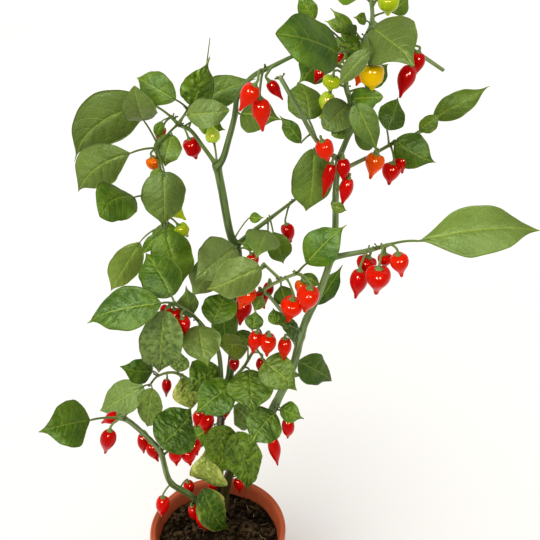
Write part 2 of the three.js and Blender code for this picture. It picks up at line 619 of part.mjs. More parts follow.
// The half width along the blade rises fast from the base and thins into a drawn-out tip.
function halfWidth(along, wide) {
  const rise = 0.54;
  const fall = (rise * (1 - LEAF.widest)) / LEAF.widest;
  const share = (along / LEAF.widest) ** rise * ((1 - along) / (1 - LEAF.widest)) ** fall;
  return Math.max((wide / 2) * share, LEAF.tipHalf);
}

// A blade is as long as its width asks for, so one that shows short lies partly along the line of sight.
function leafTip(leaf, base) {
  const shown = seen(leaf.tip, base.y).distanceTo(base);
  const hidden = Math.sqrt(Math.max((LEAF.slender * leaf.wide) ** 2 - shown ** 2, 0));
  return seen(leaf.tip, base.y - leaf.lean * hidden);
}

function leafSolid(leaf, index) {
  const root = onBranch(leaf.on, leaf.root);
  const base = seen(leaf.base, root.y - leaf.near);
  const tip = leafTip(leaf, base);
  const along = STATIONS.find(({ below }) => leaf.wide < below).along;

  const chord = tip.clone().sub(base);
  const toEye = EYE.clone().sub(base).normalize();
  const facing = toEye.multiplyScalar(LEAF.toEye).addScaledVector(UP, 1 - LEAF.toEye);
  const axis = chord.clone().normalize();
  const turn = LEAF.turn * Math.sin(2.4 * index);
  const across = facing.addScaledVector(axis, -facing.dot(axis)).normalize();
  const outward = across.applyAxisAngle(axis, turn);
  const sideways = outward.clone().cross(axis);

  const crown = base.clone().lerp(tip, 0.5);
  crown.addScaledVector(outward, LEAF.arch * chord.length());
  crown.addScaledVector(sideways, (leaf.sway ?? 0) * chord.length());
  const blade = new THREE.QuadraticBezierCurve3(base, crown, tip);
  const rise = LEAF.stalkRise * root.distanceTo(base);
  const elbow = root.clone().lerp(base, 0.55).addScaledVector(UP, rise);
  const middle = new THREE.QuadraticBezierCurve3(root, elbow, base).getPoint(0.5);
  const stalk = leaf.wide < WIDE_LEAF ? [root] : [root, middle];
  const points = [...stalk, ...along.map((s) => blade.getPoint(s))];

  const first = stalk.length;
  const turned = frames(points, first + 1, outward);
  const rings = points.map((p, i) => {
    const { side, out } = turned[i];
    if (i < first) {
      const round = [side, out, side.clone().negate(), out.clone().negate()];
      return round.map((d) => p.clone().addScaledVector(d, LEAF.petiole));
    }
    const s = along[i - first];
    const half = halfWidth(s, leaf.wide);
    const thick = s === 1 ? LEAF.tipHalf : LEAF.thick / 2;
    const edge = (sign) => {
      const wave = LEAF.wave * leaf.wide * Math.sin(9 * s + 2.1 * index + sign) * Math.sin(Math.PI * s);
      return p
        .clone()
        .addScaledVector(side, sign * half)
        .addScaledVector(out, wave - LEAF.droop * half);
    };
    const above = p.clone().addScaledVector(out, thick);
    const below = p.clone().addScaledVector(out, -thick);
    return [edge(1), above, edge(-1), below];
  });
  return solid(skin(rings, true));
}

// Chillies: a broad shoulder that draws in to a small beak.
const FRUIT_OUTLINE = [
  [0, 0], [0.62, 0.03], [1, 0.27], [0.92, 0.5], [0.42, 0.77], [0, 1],
];

function fruitPlaces(fruit) {
  const root = onBranch(fruit.on, fruit.root);
  const top = seen(fruit.top, root.y - fruit.near);
  const tip = seen(fruit.tip, root.y - fruit.near);
  return { root, top, tip, axis: tip.clone().sub(top).normalize() };
}

function fruitSolid(fruit) {
  const { top, tip, axis } = fruitPlaces(fruit);
  const length = top.distanceTo(tip);
  const outline = FRUIT_OUTLINE.map(([r, h]) => new THREE.Vector2((r * fruit.wide) / 2, h * length));
  const geometry = new THREE.LatheGeometry(outline, FRUIT_SIDES);
  geometry.applyMatrix4(
    new THREE.Matrix4().compose(
      top,
      new THREE.Quaternion().setFromUnitVectors(new Vector3(0, 1, 0), axis),
      new Vector3(1, 1, 1),
    ),
  );
  return solid(geometry);
}

function stalkSolid(fruit) {
  const { root, top, axis } = fruitPlaces(fruit);
  const end = top.clone().addScaledVector(axis, -PEDICEL.gap);
  const neck = end.clone().addScaledVector(axis, -PEDICEL.straight);
  const elbow = neck.clone().lerp(root, 0.5).addScaledVector(UP, PEDICEL.rise * root.distanceTo(neck));
  const { thin } = PEDICEL;
  return rod([root, elbow, neck, end], [thin, thin, PEDICEL.neck, PEDICEL.cap * fruit.wide], 4);
}

// A stem with all that grows on it, freed of edges shorter than a sliver where its parts meet.
function leafyStem(stem) {
  const names = Object.keys(BRANCHES).filter((name) => BRANCHES[name].stem === stem);
  return joined([
    ...names.map(branchSolid),
    ...LEAVES.map((leaf, i) => (names.includes(leaf.on) ? leafSolid(leaf, i) : null)).filter(Boolean),
    ...FRUITS.filter((fruit) => names.includes(fruit.on)).map(stalkSolid),
  ]).simplify(SLIVER);
}

// Pot: a tapered shell under a deep stepped rim, with round drain holes in its floor.
function potSolid() {
  const rimTop = POT.height;
  const rimFoot = POT.height - POT.rimHeight;
  const inner = POT.rimRadius - POT.rimWidth;
  const outline = [
    [0, 0],
    [POT.footRadius, 0],
    [POT.bodyRadius, rimFoot - 2],
    [POT.rimRadius - 0.8, rimFoot],
    [POT.rimRadius, rimTop - 2],
    [POT.rimRadius - 0.9, rimTop - 0.6],
    [POT.rimRadius - 2, rimTop],
    [POT.rimRadius - 3.4, rimTop - 0.4],
    [POT.rimRadius - 4, rimTop - 1.6],
    [inner, rimTop - 2.2],
    [inner - 0.7, rimTop - 6],
    [POT.bodyRadius - POT.wall, rimFoot - 3],
    [POT.footRadius - POT.wall, POT.floor],
    [0, POT.floor],
  ].map(([r, z]) => new THREE.Vector2(r, z));
  const shell = new THREE.LatheGeometry(outline, POT.facets).rotateX(Math.PI / 2);
  let pot = solid(shell);
  for (let i = 0; i < POT.drainHoles; i += 1) {
    const angle = (2 * Math.PI * i) / POT.drainHoles;
    const drill = new THREE.CylinderGeometry(POT.drainRadius, POT.drainRadius, 4 * POT.floor, 8);
    drill.rotateX(Math.PI / 2);
    drill.translate(POT.drainCircle * Math.cos(angle), POT.drainCircle * Math.sin(angle), 0);
    pot = pot.subtract(solid(drill));
  }
  return pot;
}

// Soil: it fills the pot to below the rim, with a lumpy top and a plain hole for each stem.
function soilSolid() {
  const foot = POT.floor + SOIL.gap;
  const slope = (POT.bodyRadius - POT.footRadius) / (POT.height - POT.rimHeight - 2);
  const wallAt = (z) => POT.footRadius - POT.wall + slope * z - 2 * SOIL.gap;
  const reach = wallAt(SOIL_TOP - SOIL.edge);
  const lump = (x, y) =>
    (SOIL.bumps / 2) *
    (Math.sin(0.31 * x + 0.7) * Math.cos(0.27 * y) + Math.sin(0.53 * y + 0.29 * x));
  const rings = [];
  const ring = (radius, height) =>
    Array.from({ length: SOIL.facets }, (_, j) => {
      const angle = (2 * Math.PI * j) / SOIL.facets;
      const x = radius * Math.cos(angle);
      const y = radius * Math.sin(angle);
      return new Vector3(x, y, height(x, y));
    });
  rings.push(ring(wallAt(foot) - 1, () => foot));
  rings.push(ring(reach, () => SOIL_TOP - SOIL.edge));
  for (let i = SOIL.rings; i > 0; i -= 1) {
    const radius = (reach * i) / SOIL.rings;
    const within = i === SOIL.rings ? reach - SOIL.gap : radius;
    rings.push(ring(within, (x, y) => SOIL_TOP - SOIL.sink + lump(x, y)));
  }
  let soil = solid(skin(rings));
  for (const { x, y, wide } of Object.values(FEET)) {
    const radius = wide / 2 + HOLE.clearance;
    const depth = HOLE.depth + HOLE.clearance;
    const drill = new THREE.CylinderGeometry(radius, radius, 2 * depth, HOLE.facets).rotateX(Math.PI / 2);
    soil = soil.subtract(solid(drill.translate(x, y, SOIL_TOP)));
  }
  return soil;
}

const plant = new THREE.Group();
plant.add(named("pot", potSolid(), FINISH.pot));
plant.add(named("soil", soilSolid(), FINISH.soil));
for (const stem of Object.keys(FEET)) {
  plant.add(named(`leafy_stem_${stem}`, leafyStem(stem), FINISH.leaf));
}
for (const name of Object.keys(CHILLIES)) {
  const bunch = FRUITS.filter((fruit) => fruit.node === name);
  plant.add(named(name, joined(bunch.map(fruitSolid)), FINISH[name.split("_")[0]]));
}

export default plant;
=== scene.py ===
"""A potted chilli pepper plant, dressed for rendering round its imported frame.

The plant's own shapes are worked out in millimetres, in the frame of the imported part: +Z up, with the
origin at the centre of the pot's underside. Meshes are written in metres.
"""

import json
import math
import random
from types import SimpleNamespace

import bmesh
import bpy
import numpy as np
from mathutils import Matrix, Vector, noise

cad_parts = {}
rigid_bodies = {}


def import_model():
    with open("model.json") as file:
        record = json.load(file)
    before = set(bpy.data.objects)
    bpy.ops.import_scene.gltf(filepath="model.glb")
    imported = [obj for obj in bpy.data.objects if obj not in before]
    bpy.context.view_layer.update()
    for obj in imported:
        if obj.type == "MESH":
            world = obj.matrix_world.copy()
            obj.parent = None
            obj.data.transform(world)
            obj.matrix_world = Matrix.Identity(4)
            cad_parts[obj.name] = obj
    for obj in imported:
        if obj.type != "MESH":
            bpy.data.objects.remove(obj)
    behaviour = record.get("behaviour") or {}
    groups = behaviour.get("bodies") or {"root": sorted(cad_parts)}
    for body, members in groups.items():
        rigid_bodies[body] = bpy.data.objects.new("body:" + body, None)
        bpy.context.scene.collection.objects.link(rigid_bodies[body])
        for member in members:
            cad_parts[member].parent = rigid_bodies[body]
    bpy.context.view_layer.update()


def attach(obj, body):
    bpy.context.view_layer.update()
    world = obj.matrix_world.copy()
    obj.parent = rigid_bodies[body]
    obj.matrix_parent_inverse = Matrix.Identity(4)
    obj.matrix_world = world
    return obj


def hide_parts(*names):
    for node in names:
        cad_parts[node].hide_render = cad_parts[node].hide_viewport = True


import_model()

MM = 0.001
UP = np.array([0.0, 0.0, 1.0])
TURN = 2 * math.pi

# Sizes of the pot and the soil, in millimetres.
POT_HEIGHT = 115.0
RIM_HEIGHT = 15.0
STEP_RADIUS = 61.0
FOOT_RADIUS = 46.0
WALL = 2.0
FLOOR = 3.0
SOIL_TOP = 102.0
SOIL_GAP = 0.4

# The picture that the free forms are placed in: pixels across and down, and how far back.
MIDDLE = 270.0
FOCAL = 742.0
FRAME_SIDE = 540.0
LOOK_DOWN = math.radians(30.3)
EYE = np.array([50.0, -492.0, POT_HEIGHT + 574.0])

# The seed of a leaf's or a chilli's draws is one of these plus its place in its list.
LEAF_SEED, FRUIT_SEED, PEDICEL_SEED = 1000, 3000, 5000

# Where the three main stems stand in the soil, and how far over it the points of their feet are.
FEET = {"left": (-14, 28), "middle": (-6, 45), "right": (4, 37)}
FOOT_LEVELS = (-30, -4, 4)

# Steps along each branch's curve.
CURVE_STEPS = 200


def read(word):
    """A number, several numbers with commas between them, or the word itself."""
    if "," in word:
        return tuple(read(part) for part in word.split(","))
    try:
        return int(word) if word.lstrip("-").isdigit() else float(word)
    except ValueError:
        return word


def table(text):
    """The rows of a table, each as its values and a dictionary of the values that have a name.

    A line that starts with four spaces goes on with the row above it.
    """
    rows = []
    for line in text.strip().replace("\n    ", " ").splitlines():
        words = line.split()
        named = dict(word.split("=") for word in words if "=" in word)
        values = [read(word) for word in words if "=" not in word]
        rows.append((values, {key: read(value) for key, value in named.items()}))
    return rows


# Branches: the stem each is part of, its width at both ends, and its route of (across, down, back).
BRANCHES = {
    name: (stem, wide, route)
    for (name, stem, wide, *route), _ in table("""
left left 6.5,3.6 195,499,14 187,493,4 171,483,-10 160,451,-34 151,441,-44 127,420,-64 120,418,-70
middle middle 7.5,6.4 219,485,46 221,420,47 230,375,49 234,330,52 238,252,56 231,236,56 222,190,53
    217,165,50
right right 10,2.4 228,478,34 243,450,26 262,430,18 275,405,10 293,366,2 305,323,-3 318,296,-6 331,258,-6
    335,235,-4 336,185,0 339,160,3 347,139,6 353,125,8 350,100,14 346,85,18 351,60,24 365,38,28 372,22,30
    371,0,32 367,-16,34
fork_left middle 4.6,3.2 217,166,50 204,148,62 190,130,76 178,124,86 171,116,92
fork_left_twig middle 3,2.4 178,124,86 188,109,94
hanging_twig middle 3,2 178,124,86 168,134,76 158,148,66 161,175,56 164,200,48 166,228,40
fork_right middle 5.4,2.2 217,166,50 222,160,47 229,138,32 235,115,16 238,95,4 253,76,-8 271,67,-14
    289,58,-18 302,52,-20
middle_right middle 4.4,2.4 238,244,56 252,232,66 268,220,76 297,198,98
middle_left middle 4.6,2.4 222,388,48 218,350,26 206,330,6 189,312,-12 173,303,-24
low_left middle 3.6,2 221,408,47 200,388,64 176,373,78 158,376,88 149,386,94
low_right middle 3.4,2 230,382,48 243,368,26 253,352,8 264,338,-8
stub right 5,4.4 338,160,3 317,141,-12 299,110,-28 280,77,-46
high_right right 3.6,2 340,170,2 348,167,14 372,155,40 390,145,58 406,138,68 426,130,80
cut_end right 3.2,3 372,22,30 395,38,44 418,53,58 443,70,74
mid_right right 4.6,2.6 331,258,-6 345,255,-18 366,251,-36 388,245,-54
inner right 3.6,2.2 299,336,-2 286,317,-12 270,297,-20 264,291,-22 281,280,-26 298,273,-28
inner_twig right 2.4,2 281,280,-26 264,264,-22
""")
}

# Leaves, in an order that seeds their draws: branch, root, base, tip, how far in front, lean, width and
# traits. The last three are young ones that only this model has. The traits are:
# shade, warmth: how light and how yellow it is; shade is partly its own tone and partly painted light and
# painted shade
# dry: how withered it is above 0, and below 0 how strong the greyish patches of painted sheen on it are
# base, widest, point, drawn, taper: the form of its outline
# broad: how much broader it is than its solid
# bow, turn, twist, cup, tilts: how it is bent sideways, turned, twisted and folded
# sway, hook, curl: how its middle and its tip swing sideways, and how its tip bends down
# pucker, quilt: how wrinkled and how blistered it is; quilt also sets the painted shade in the blisters'
# creases and the painted highlight on their crowns
LEAVES = [
    (*values, traits)
    for values, traits in table("""
fork_left_twig 188,109 176,100 136,76 2 -1 26 shade=-0.9 warmth=0.1 base=0.75 widest=0.48 point=1.15
fork_left 174,119 153,105 72,163 4 1 42 shade=-1.6 warmth=0.2 dry=-0.2 widest=0.4 point=1.9 bow=-0.3
    turn=-10 sway=0.0 hook=0.5
hanging_twig 158,146 144,121 134,87 -2 1 26 shade=-0.05 warmth=0.2 dry=-0.7 base=0.5 widest=0.46 point=0.7
    drawn=0.3 cup=0.1
hanging_twig 158,148 131,153 78,194 6 1 35 shade=-1.6 warmth=0.2 dry=-0.2 base=1.1 widest=0.46 point=1.3
    bow=-0.25 turn=-10 sway=0.0
hanging_twig 170,132 172,134 163,166 0 1 22 shade=0.2 warmth=0.1 dry=-0.3 base=0.6 widest=0.45 point=0.7
    pucker=0.15 quilt=0.05
fork_left 172,117 162,121 155,139 6 1 9
fork_left_twig 188,109 191,106 209,56 8 -1 27 shade=0.5 base=0.6 widest=0.3 point=1.5 drawn=0.93
    pucker=2.0 quilt=0.9 twist=0.5
fork_left_twig 188,109 194,106 257,79 -24 -1 25 shade=-0.9 warmth=0.1 dry=-0.2
fork_left 180,125 186,115 230,112 22 1 23 shade=-1.4 warmth=0.1 dry=-0.6 point=0.8 drawn=0.1
fork_left 184,127 196,120 226,130 4 -1 16
fork_right 236,112 240,114 281,121 4 1 25 shade=-1.9 turn=-10
stub 312,133 301,143 279,116 6 -1 11
hanging_twig 159,152 164,171 165,229 16 0.6 36 shade=-1.2 warmth=0.1 dry=-0.4 base=0.5 widest=0.36
    point=1.0 drawn=0.75
hanging_twig 160,160 161,168 151,187 4 -1 12
hanging_twig 163,196 135,197 98,213 4 1 34 shade=-0.2 warmth=0.05 base=0.8 widest=0.42 point=0.8 drawn=0.0
    taper=2.6 pucker=0.5 sway=-0.1 hook=1.5
hanging_twig 166,224 165,231 183,287 10 1 36 shade=0.0 warmth=0.05 base=0.6 point=0.8
middle_left 175,304 172,297 145,252 -9 -1 33 shade=-1.1 warmth=0.0 base=0.6 point=0.8
hanging_twig 166,226 157,234 142,255 6 1 9
hanging_twig 166,226 140,242 109,292 -29 1 27 shade=0.4 warmth=0.35 dry=-0.3
right 352,60 339,54 277,32 50 1 35 shade=-0.6 warmth=0.0 base=0.35 widest=0.5 point=0.7 drawn=0.3 sway=0.0
    hook=0.2
right 349,70 323,60 299,83 -22 1 24
right 354,55 315,20 297,-7 -2 -1 13
right 357,50 347,31 325,20 6 1 11 shade=-0.2 broad=0.85 pucker=0.08 quilt=0.1
right 362,42 353,29 330,8 -2 -1 10 shade=0.1 point=1.8 broad=0.75 pucker=0.08 quilt=0.1
right 364,40 356,40 342,34 10 1 13 shade=-0.4 point=0.8 drawn=0.2 broad=1.3 pucker=0.3 quilt=0.2 cup=0.3
right 368,32 372,27 417,61 12 1 40 shade=-1.7 warmth=0.2 dry=-0.35 base=0.4 widest=0.34 point=0.9
    drawn=0.5 tilts=0.05,-0.1
right 366,36 369,49 337,88 40 1 15 shade=-0.1 warmth=0.15 dry=-0.75 point=1.2 broad=0.85
stub 317,141 309,120 300,80 -8 -1 24 shade=-0.6 warmth=0.15 dry=-0.2 base=0.5 point=0.8 broad=1.15
right 350,100 348,104 324,128 3 1 25 shade=-0.2 warmth=0.0 dry=-0.7 base=0.5 widest=0.5 point=0.6
    drawn=0.1 broad=0.9 hook=0.0
right 349,92 350,99 383,97 5 1 19 shade=-0.7 warmth=0.0 base=0.5 point=0.6 drawn=0.0 broad=0.7 pucker=0.1
    quilt=0.1 hook=0.0
right 351,106 355,103 378,154 26 1 21 shade=-0.9 warmth=0.05 dry=-0.35 base=0.7 widest=0.28 point=1.5
    drawn=0.7 broad=0.88
right 353,122 350,125 332,135 10 1 13 shade=0.2 warmth=0.1 base=0.5 point=0.6 drawn=0.0 pucker=0.1
    quilt=0.1 hook=0.0
high_right 389,145 387,130 399,96 6 -1 23 shade=-0.6
right 348,92 366,88 388,62 -6 -1 18
right 351,130 355,134 375,147 -6 -1 15
high_right 425,130 433,118 491,87 4 1 20 shade=0.0 warmth=0.2 point=1.3
high_right 414,135 419,131 442,114 6 1 14
high_right 390,145 395,140 436,164 3 1 28 shade=-0.3 warmth=0.05 point=1.2
right 372,18 391,12 409,-3 -6 -1 14
right 337,157 314,148 308,213 3 1 31 shade=0.1 warmth=0.05 dry=-0.35 base=0.65 widest=0.46 point=0.85
right 336,198 331,204 347,211 10 1 8
inner 297,273 306,264 346,224 -8 -1 28 shade=-1.0 widest=0.42 point=1.6
middle_right 268,220 268,230 256,260 6 1.2 30 shade=0.4 dry=-0.6
middle_right 270,219 273,232 284,265 -2 -1 22
middle 238,243 242,243 258,250 8 1 9
middle 236,240 249,218 264,218 2 1 9
middle 238,247 236,247 194,279 12 1 38 shade=0.2 warmth=0.0 dry=-0.85 base=0.6 point=0.7
middle 237,262 223,259 192,297 20 1 28 shade=-0.2 warmth=0.2 dry=-0.7 base=0.6 point=0.8
inner_twig 264,264 261,267 207,292 10 1 29 shade=-1.9 warmth=0.3 dry=-0.3 base=0.6 point=0.85 turn=-16
mid_right 387,246 418,241 542,230 4 1 34 shade=0.2 warmth=0.2 dry=-0.5 base=1.5 widest=0.42 point=0.95
    pucker=0.35 hook=0.2 tilts=0.0,0.05
right 307,318 316,305 343,265 -14 -1 16 shade=-0.8
inner 281,280 281,286 290,309 -6 -1 16 shade=-0.7
inner 296,274 301,276 322,286 -4 -1 10 shade=-0.7
middle_left 193,316 190,318 186,286 -2 -1 17 shade=-0.4 warmth=0.0 dry=-0.4 base=0.9 point=1.2
middle_left 213,340 212,324 227,290 8 -1 30 shade=-0.1
middle 235,318 224,307 226,348 14 1 20
middle_left 200,322 199,325 206,366 14 1 32 shade=-0.9 warmth=0.25 dry=-0.5 base=0.6 point=0.8 turn=-12
    quilt=0.3
middle 233,345 237,331 251,348 8 1 18
low_right 248,360 248,347 215,345 16 1 23 shade=0.9 warmth=0.35
low_right 258,345 252,330 256,310 2 -1 15
inner 285,317 277,325 272,308 4 -1 12 shade=-0.5 pucker=1.2
right 301,332 299,332 275,323 7 1 26 shade=-0.5 pucker=1.4 quilt=1.2 twist=0.6
inner 266,293 262,296 254,312 4 1 10
middle_left 174,304 162,303 85,320 8 1 34 shade=-1.2 pucker=0.7 quilt=0.7
middle_left 175,304 165,310 161,375 7 1 33 shade=-0.3 warmth=0.0 dry=-0.8 base=0.6 widest=0.42 point=0.85
    pucker=1.2 quilt=1.5
low_left 159,376 153,371 120,368 6 1 25 shade=-0.5 base=0.6 point=0.8 pucker=0.7 quilt=0.5
low_left 176,373 178,372 181,351 2 -1 21 shade=-0.3 warmth=0.1 dry=-0.6
middle 226,394 220,368 186,390 -6 1 34 shade=0.2 base=0.6 point=0.9 pucker=0.8 quilt=1.1
low_left 150,385 144,386 99,413 8 1 34 shade=-0.2 warmth=0.0 dry=-0.7 base=0.6 point=0.9 quilt=0.5
low_left 151,384 152,388 146,428 16 1 28 shade=-0.4 warmth=0.25 dry=-0.3 base=0.65 point=0.8
low_left 178,374 181,378 193,411 6 1 25 shade=1.0 warmth=0.6 dry=1.35 pucker=1.5 quilt=0.8 twist=0.8
left 160,451 160,446 194,409 14 -1 41 shade=-0.3 base=0.55 point=0.8 pucker=1.3 quilt=1.6
middle 221,424 207,429 180,448 21 1 21 shade=0.2
left 121,418 91,420 39,431 6 1 34 shade=-0.15 base=1.3 widest=0.4 point=1.0 drawn=0.7 pucker=0.6 quilt=0.6
    hook=0.4
middle 226,396 233,383 194,414 30 1 36 shade=-0.2 pucker=0.9 quilt=1.0
low_right 243,368 249,369 252,415 16 1 40 shade=-0.1 pucker=1.1 quilt=1.2
low_right 256,348 264,361 299,389 10 1 30 shade=-0.8 base=0.5 widest=0.26 point=1.0 drawn=0.5 pucker=0.7
    quilt=0.7
right 293,366 298,361 334,381 -8 -1 29 shade=-0.6 warmth=0.05 widest=0.36 drawn=0.3 taper=1.25
right 274,408 275,412 249,445 14 1 34 shade=-0.5
right 277,402 280,408 304,419 8 1 19 point=1.6
middle 221,418 220,425 221,475 36 1 30 shade=0.6 base=0.5 widest=0.32 point=1.2 broad=1.05 pucker=1.7
    quilt=1.6
right 252,440 237,432 250,491 16 1 34 shade=0.4 base=0.5 widest=0.4 point=1.15 drawn=0.3 taper=1.15
    pucker=1.8 quilt=1.8
middle 221,440 207,444 211,488 22 1 29 shade=1.2 warmth=0.8 dry=1.6 base=1.9 widest=0.7 point=0.9
    broad=1.28 pucker=1.4 quilt=0.9 twist=0.6
left 200,503 203,489 229,531 13 1 31 shade=-0.7 dry=0.6 base=0.6 widest=0.34 point=1.2 drawn=0.5 taper=1.5
    broad=1.03 bow=-0.16 pucker=1.3 quilt=1.1 curl=0.0 hook=0.6
right 369,-10 363,-22 334,-36 4 1 22
right 368,-12 378,-22 408,-40 0 -1 22
right 367,-16 366,-26 364,-64 2 -1 17
right 371,2 360,-3 336,-14 -8 -1 20
middle 226,398 234,406 250,424 -20 -1 28 shade=0.6 point=1.0 quilt=1.2
middle 221,432 213,424 196,434 -18 -1 32
right 284,386 288,378 285,370 -18 -1 30
middle_left 208,333 206,336 200,350 -18 -1 30
right 352,112 357,106 364,118 -16 -1 30
right 349,72 343,62 316,44 -16 -1 32
middle 235,300 243,296 249,304 -16 -1 28
hanging_twig 165,214 168,222 172,258 -14 -1 28
fork_left 188,129 196,112 216,104 -14 -0.6 24
right 364,43 360,45 343,46 16 1 12 shade=0.3 point=0.9 drawn=0.4 bow=-0.1 pucker=0.5 quilt=0.5 cup=0.5
right 371,26 367,21 354,17 6 1 8 shade=0.2 point=1.3 pucker=0.1 quilt=0.1
right 362,48 359,52 345,60 8 1 13 shade=-0.5 point=1.0 pucker=0.3 quilt=0.2
""")
]
YOUNG_LEAVES = 3

# Chillies, in an order that seeds their draws: node, branch, root, top, tip, how far in front, width, and
# how ripe (below 0 more orange), how full low down and how thick they are.
FRUITS = [
    (*values, traits)
    for values, traits in table("""
red_chilli_upper_left_1 fork_left 172,117 163,127 157,141 0 9 ripe=0.8 full=0.6
red_chilli_upper_left_2 fork_left 182,126 189,139 197,159 10 13 ripe=0.75 full=1.0 thick=1.1
orange_chilli_upper_left hanging_twig 158,148 152,157 157,172 0 11 ripe=-0.5 full=0.5 thick=1.15
green_chilli_fork middle 217,166 214,142 210,122 -16 12.5 ripe=-0.9
red_chilli_top_1 fork_right 262,72 255,85 239,111 26 13.5 ripe=-0.5 thick=0.88
red_chilli_top_2 fork_right 264,71 260,98 263,132 20 14 ripe=-0.4 thick=0.9
red_chilli_top_3 fork_right 276,64 269,81 283,100 8 10 ripe=0.8 thick=0.75
red_chilli_crown_right right 351,60 338,50 333,67 12 11
red_chilli_crown_left right 348,74 321,69 315,84 6 9 ripe=0.4 thick=0.8
green_chilli_crown_round right 347,82 333,76 329,91 18 11 full=0.8 thick=1.15
green_chilli_crown_long right 347,88 330,92 320,119 8 9 ripe=-0.6 full=0.5 thick=1.25
yellow_chilli right 360,46 372,64 372,91 30 17 full=0.8
orange_chilli_crown right 351,64 362,72 356,86 4 9
green_chilli_top right 372,6 389,-5 387,16 10 15 full=0.7
red_chilli_cut_end_1 cut_end 408,47 419,52 414,78 2 12 ripe=0.6
red_chilli_cut_end_2 cut_end 400,42 411,65 399,98 14 13.5 ripe=0.7 thick=0.92
orange_chilli_high_right high_right 374,154 377,154 370,179 16 14.5
red_chillies_high_right high_right 390,145 393,163 388,185 10 15 ripe=0.2 full=0.3
red_chillies_high_right high_right 394,143 402,155 402,174 8 12 ripe=0.5
red_chilli_stub stub 322,146 322,141 329,161 14 13 ripe=-0.6 full=0.9
red_chilli_right_front right 338,158 332,163 323,198 13 11 ripe=0.4 thick=0.78
red_chillies_right_back right 339,162 343,158 344,183 13 10 ripe=0.6
red_chillies_right_back right 335,196 349,178 342,206 8 11 ripe=0.1 thick=0.88
red_chilli_middle_right middle_right 290,203 286,224 291,243 4 12.5 ripe=0.8 full=0.4
red_chilli_middle_1 middle 239,250 251,254 257,269 12 11 ripe=0.7
orange_chilli_inner inner_twig 266,266 249,287 240,309 6 16 ripe=1.0
red_chilli_middle_2 middle 235,300 244,299 240,325 24 16 ripe=0.7
red_chillies_inner inner 265,292 260,291 264,309 -4 11 ripe=0.8
red_chillies_inner inner 272,286 269,283 267,301 -12 9 ripe=0.8
red_chilli_inner_1 inner 286,278 293,299 288,322 6 17.5 ripe=-0.5
red_chilli_inner_2 inner 297,273 310,288 304,313 12 17.5 ripe=-0.5 full=0.3
orange_chilli_inner_back inner 294,275 302,281 299,297 -4 10
red_chillies_low_right low_right 263,339 257,332 252,354 10 12 ripe=-0.3
red_chillies_low_right low_right 264,338 269,335 266,357 10 14 ripe=-0.4
red_chilli_right_low right 296,350 285,338 284,361 10 13 ripe=-0.3 thick=0.88
red_chilli_middle_3 middle 231,368 234,359 235,372 16 10 ripe=1.0 full=0.5
red_chilli_low_right_back low_right 252,353 262,358 260,375 -7 9.5 ripe=1.0
red_chillies_mid_right mid_right 372,250 369,257 361,275 -8 15 ripe=0.5
red_chillies_mid_right mid_right 368,251 360,270 356,299 4 14 ripe=0.5 thick=0.92
red_chilli_mid_right_1 mid_right 384,246 379,268 376,295 10 18.5 ripe=-0.1
red_chilli_mid_right_2 mid_right 386,246 385,254 385,269 -4 11
red_chilli_mid_right_3 mid_right 387,246 398,254 402,277 12 14.5 ripe=-0.4 thick=0.88
green_chilli_hanging_1 hanging_twig 165,216 178,225 188,237 0 12 ripe=0.5 full=1.0
green_chilli_hanging_2 hanging_twig 164,202 169,205 186,220 -2 13
red_chillies_middle_left middle_left 178,306 168,307 161,318 0 10
red_chillies_middle_left middle_left 180,307 174,309 176,328 -2 11
red_chillies_middle_left middle_left 184,310 182,318 186,336 8 12 ripe=0.5
red_chilli_low_left low_left 167,374 167,379 166,397 0 10 ripe=1.0
red_chillies_low_middle middle 222,408 207,413 206,435 28 15
red_chillies_low_middle middle 222,408 198,411 196,428 28 9
red_chilli_low_middle middle 224,400 226,403 225,420 16 10
red_chilli_left_1 left 161,452 175,447 177,466 4 12
red_chillies_left left 162,456 187,448 191,466 0 14
red_chillies_left left 162,456 193,441 198,455 -6 12
red_chilli_right_foot_1 right 266,422 272,437 278,466 10 12.5 ripe=0.3 thick=0.9
red_chilli_right_foot_2 right 272,411 288,418 288,439 12 12 ripe=0.3 full=0.4
red_chilli_left_end_1 left 121,418 110,430 105,454 6 13 ripe=0.7 thick=0.9
red_chilli_left_end_2 left 126,420 118,415 101,423 -10 10 ripe=0.5
red_chillies_left_back left 150,440 142,434 144,454 -26 10 ripe=0.7
red_chillies_left_back left 156,446 150,442 158,462 -16 12 ripe=0.6
red_chilli_left_foot_1 left 172,484 163,497 162,517 8 14 ripe=0.1 thick=0.9
red_chilli_left_foot_2 left 180,489 188,482 191,495 -18 11
red_chilli_middle_foot middle 219,474 213,480 213,494 10 9.5
red_chilli_right_foot_3 right 226,482 238,478 240,493 0 10.5
red_chillies_soil left 199,503 192,506 198,522 14 12 ripe=0.3
red_chillies_soil left 199,503 199,515 207,531 22 11
""")
]

# Stubs of old fruit stalks: the branch, a place on it and how many.
STUBS = [
    values
    for values, _ in table("""
mid_right 378,247 6
mid_right 366,251 2
fork_left 180,124 5
fork_left 174,118 3
fork_left_twig 187,110 3
fork_right 266,70 2
hanging_twig 165,214 3
hanging_twig 160,158 3
high_right 390,145 5
high_right 424,131 2
high_right 372,155 2
middle_left 175,304 4
middle_left 196,320 2
low_left 158,376 4
low_left 178,374 3
low_right 263,339 4
low_right 248,358 2
inner 297,273 5
inner 281,280 3
inner 266,292 4
middle_right 270,219 4
middle_right 292,202 4
left 123,419 4
left 160,451 3
left 172,484 3
right 351,60 2
right 366,36 3
right 371,2 3
right 338,158 3
right 346,86 3
stub 282,80 3
cut_end 404,44 3
middle 238,246 3
""")
]


def unit(v):
    """The same direction, or directions, with a length of one."""
    return v / (np.linalg.norm(v, axis=-1, keepdims=True) + 1e-12)


def smooth(low, high, x):
    """Rises softly from 0 at the low value to 1 at the high one."""
    share = np.clip((np.asarray(x, float) - low) / (high - low), 0, 1)
    return share * share * (3 - 2 * share)


def bell(x, middle, spread):
    """One at the middle, and falling off to both sides."""
    return np.exp(-(((x - middle) / spread) ** 2))


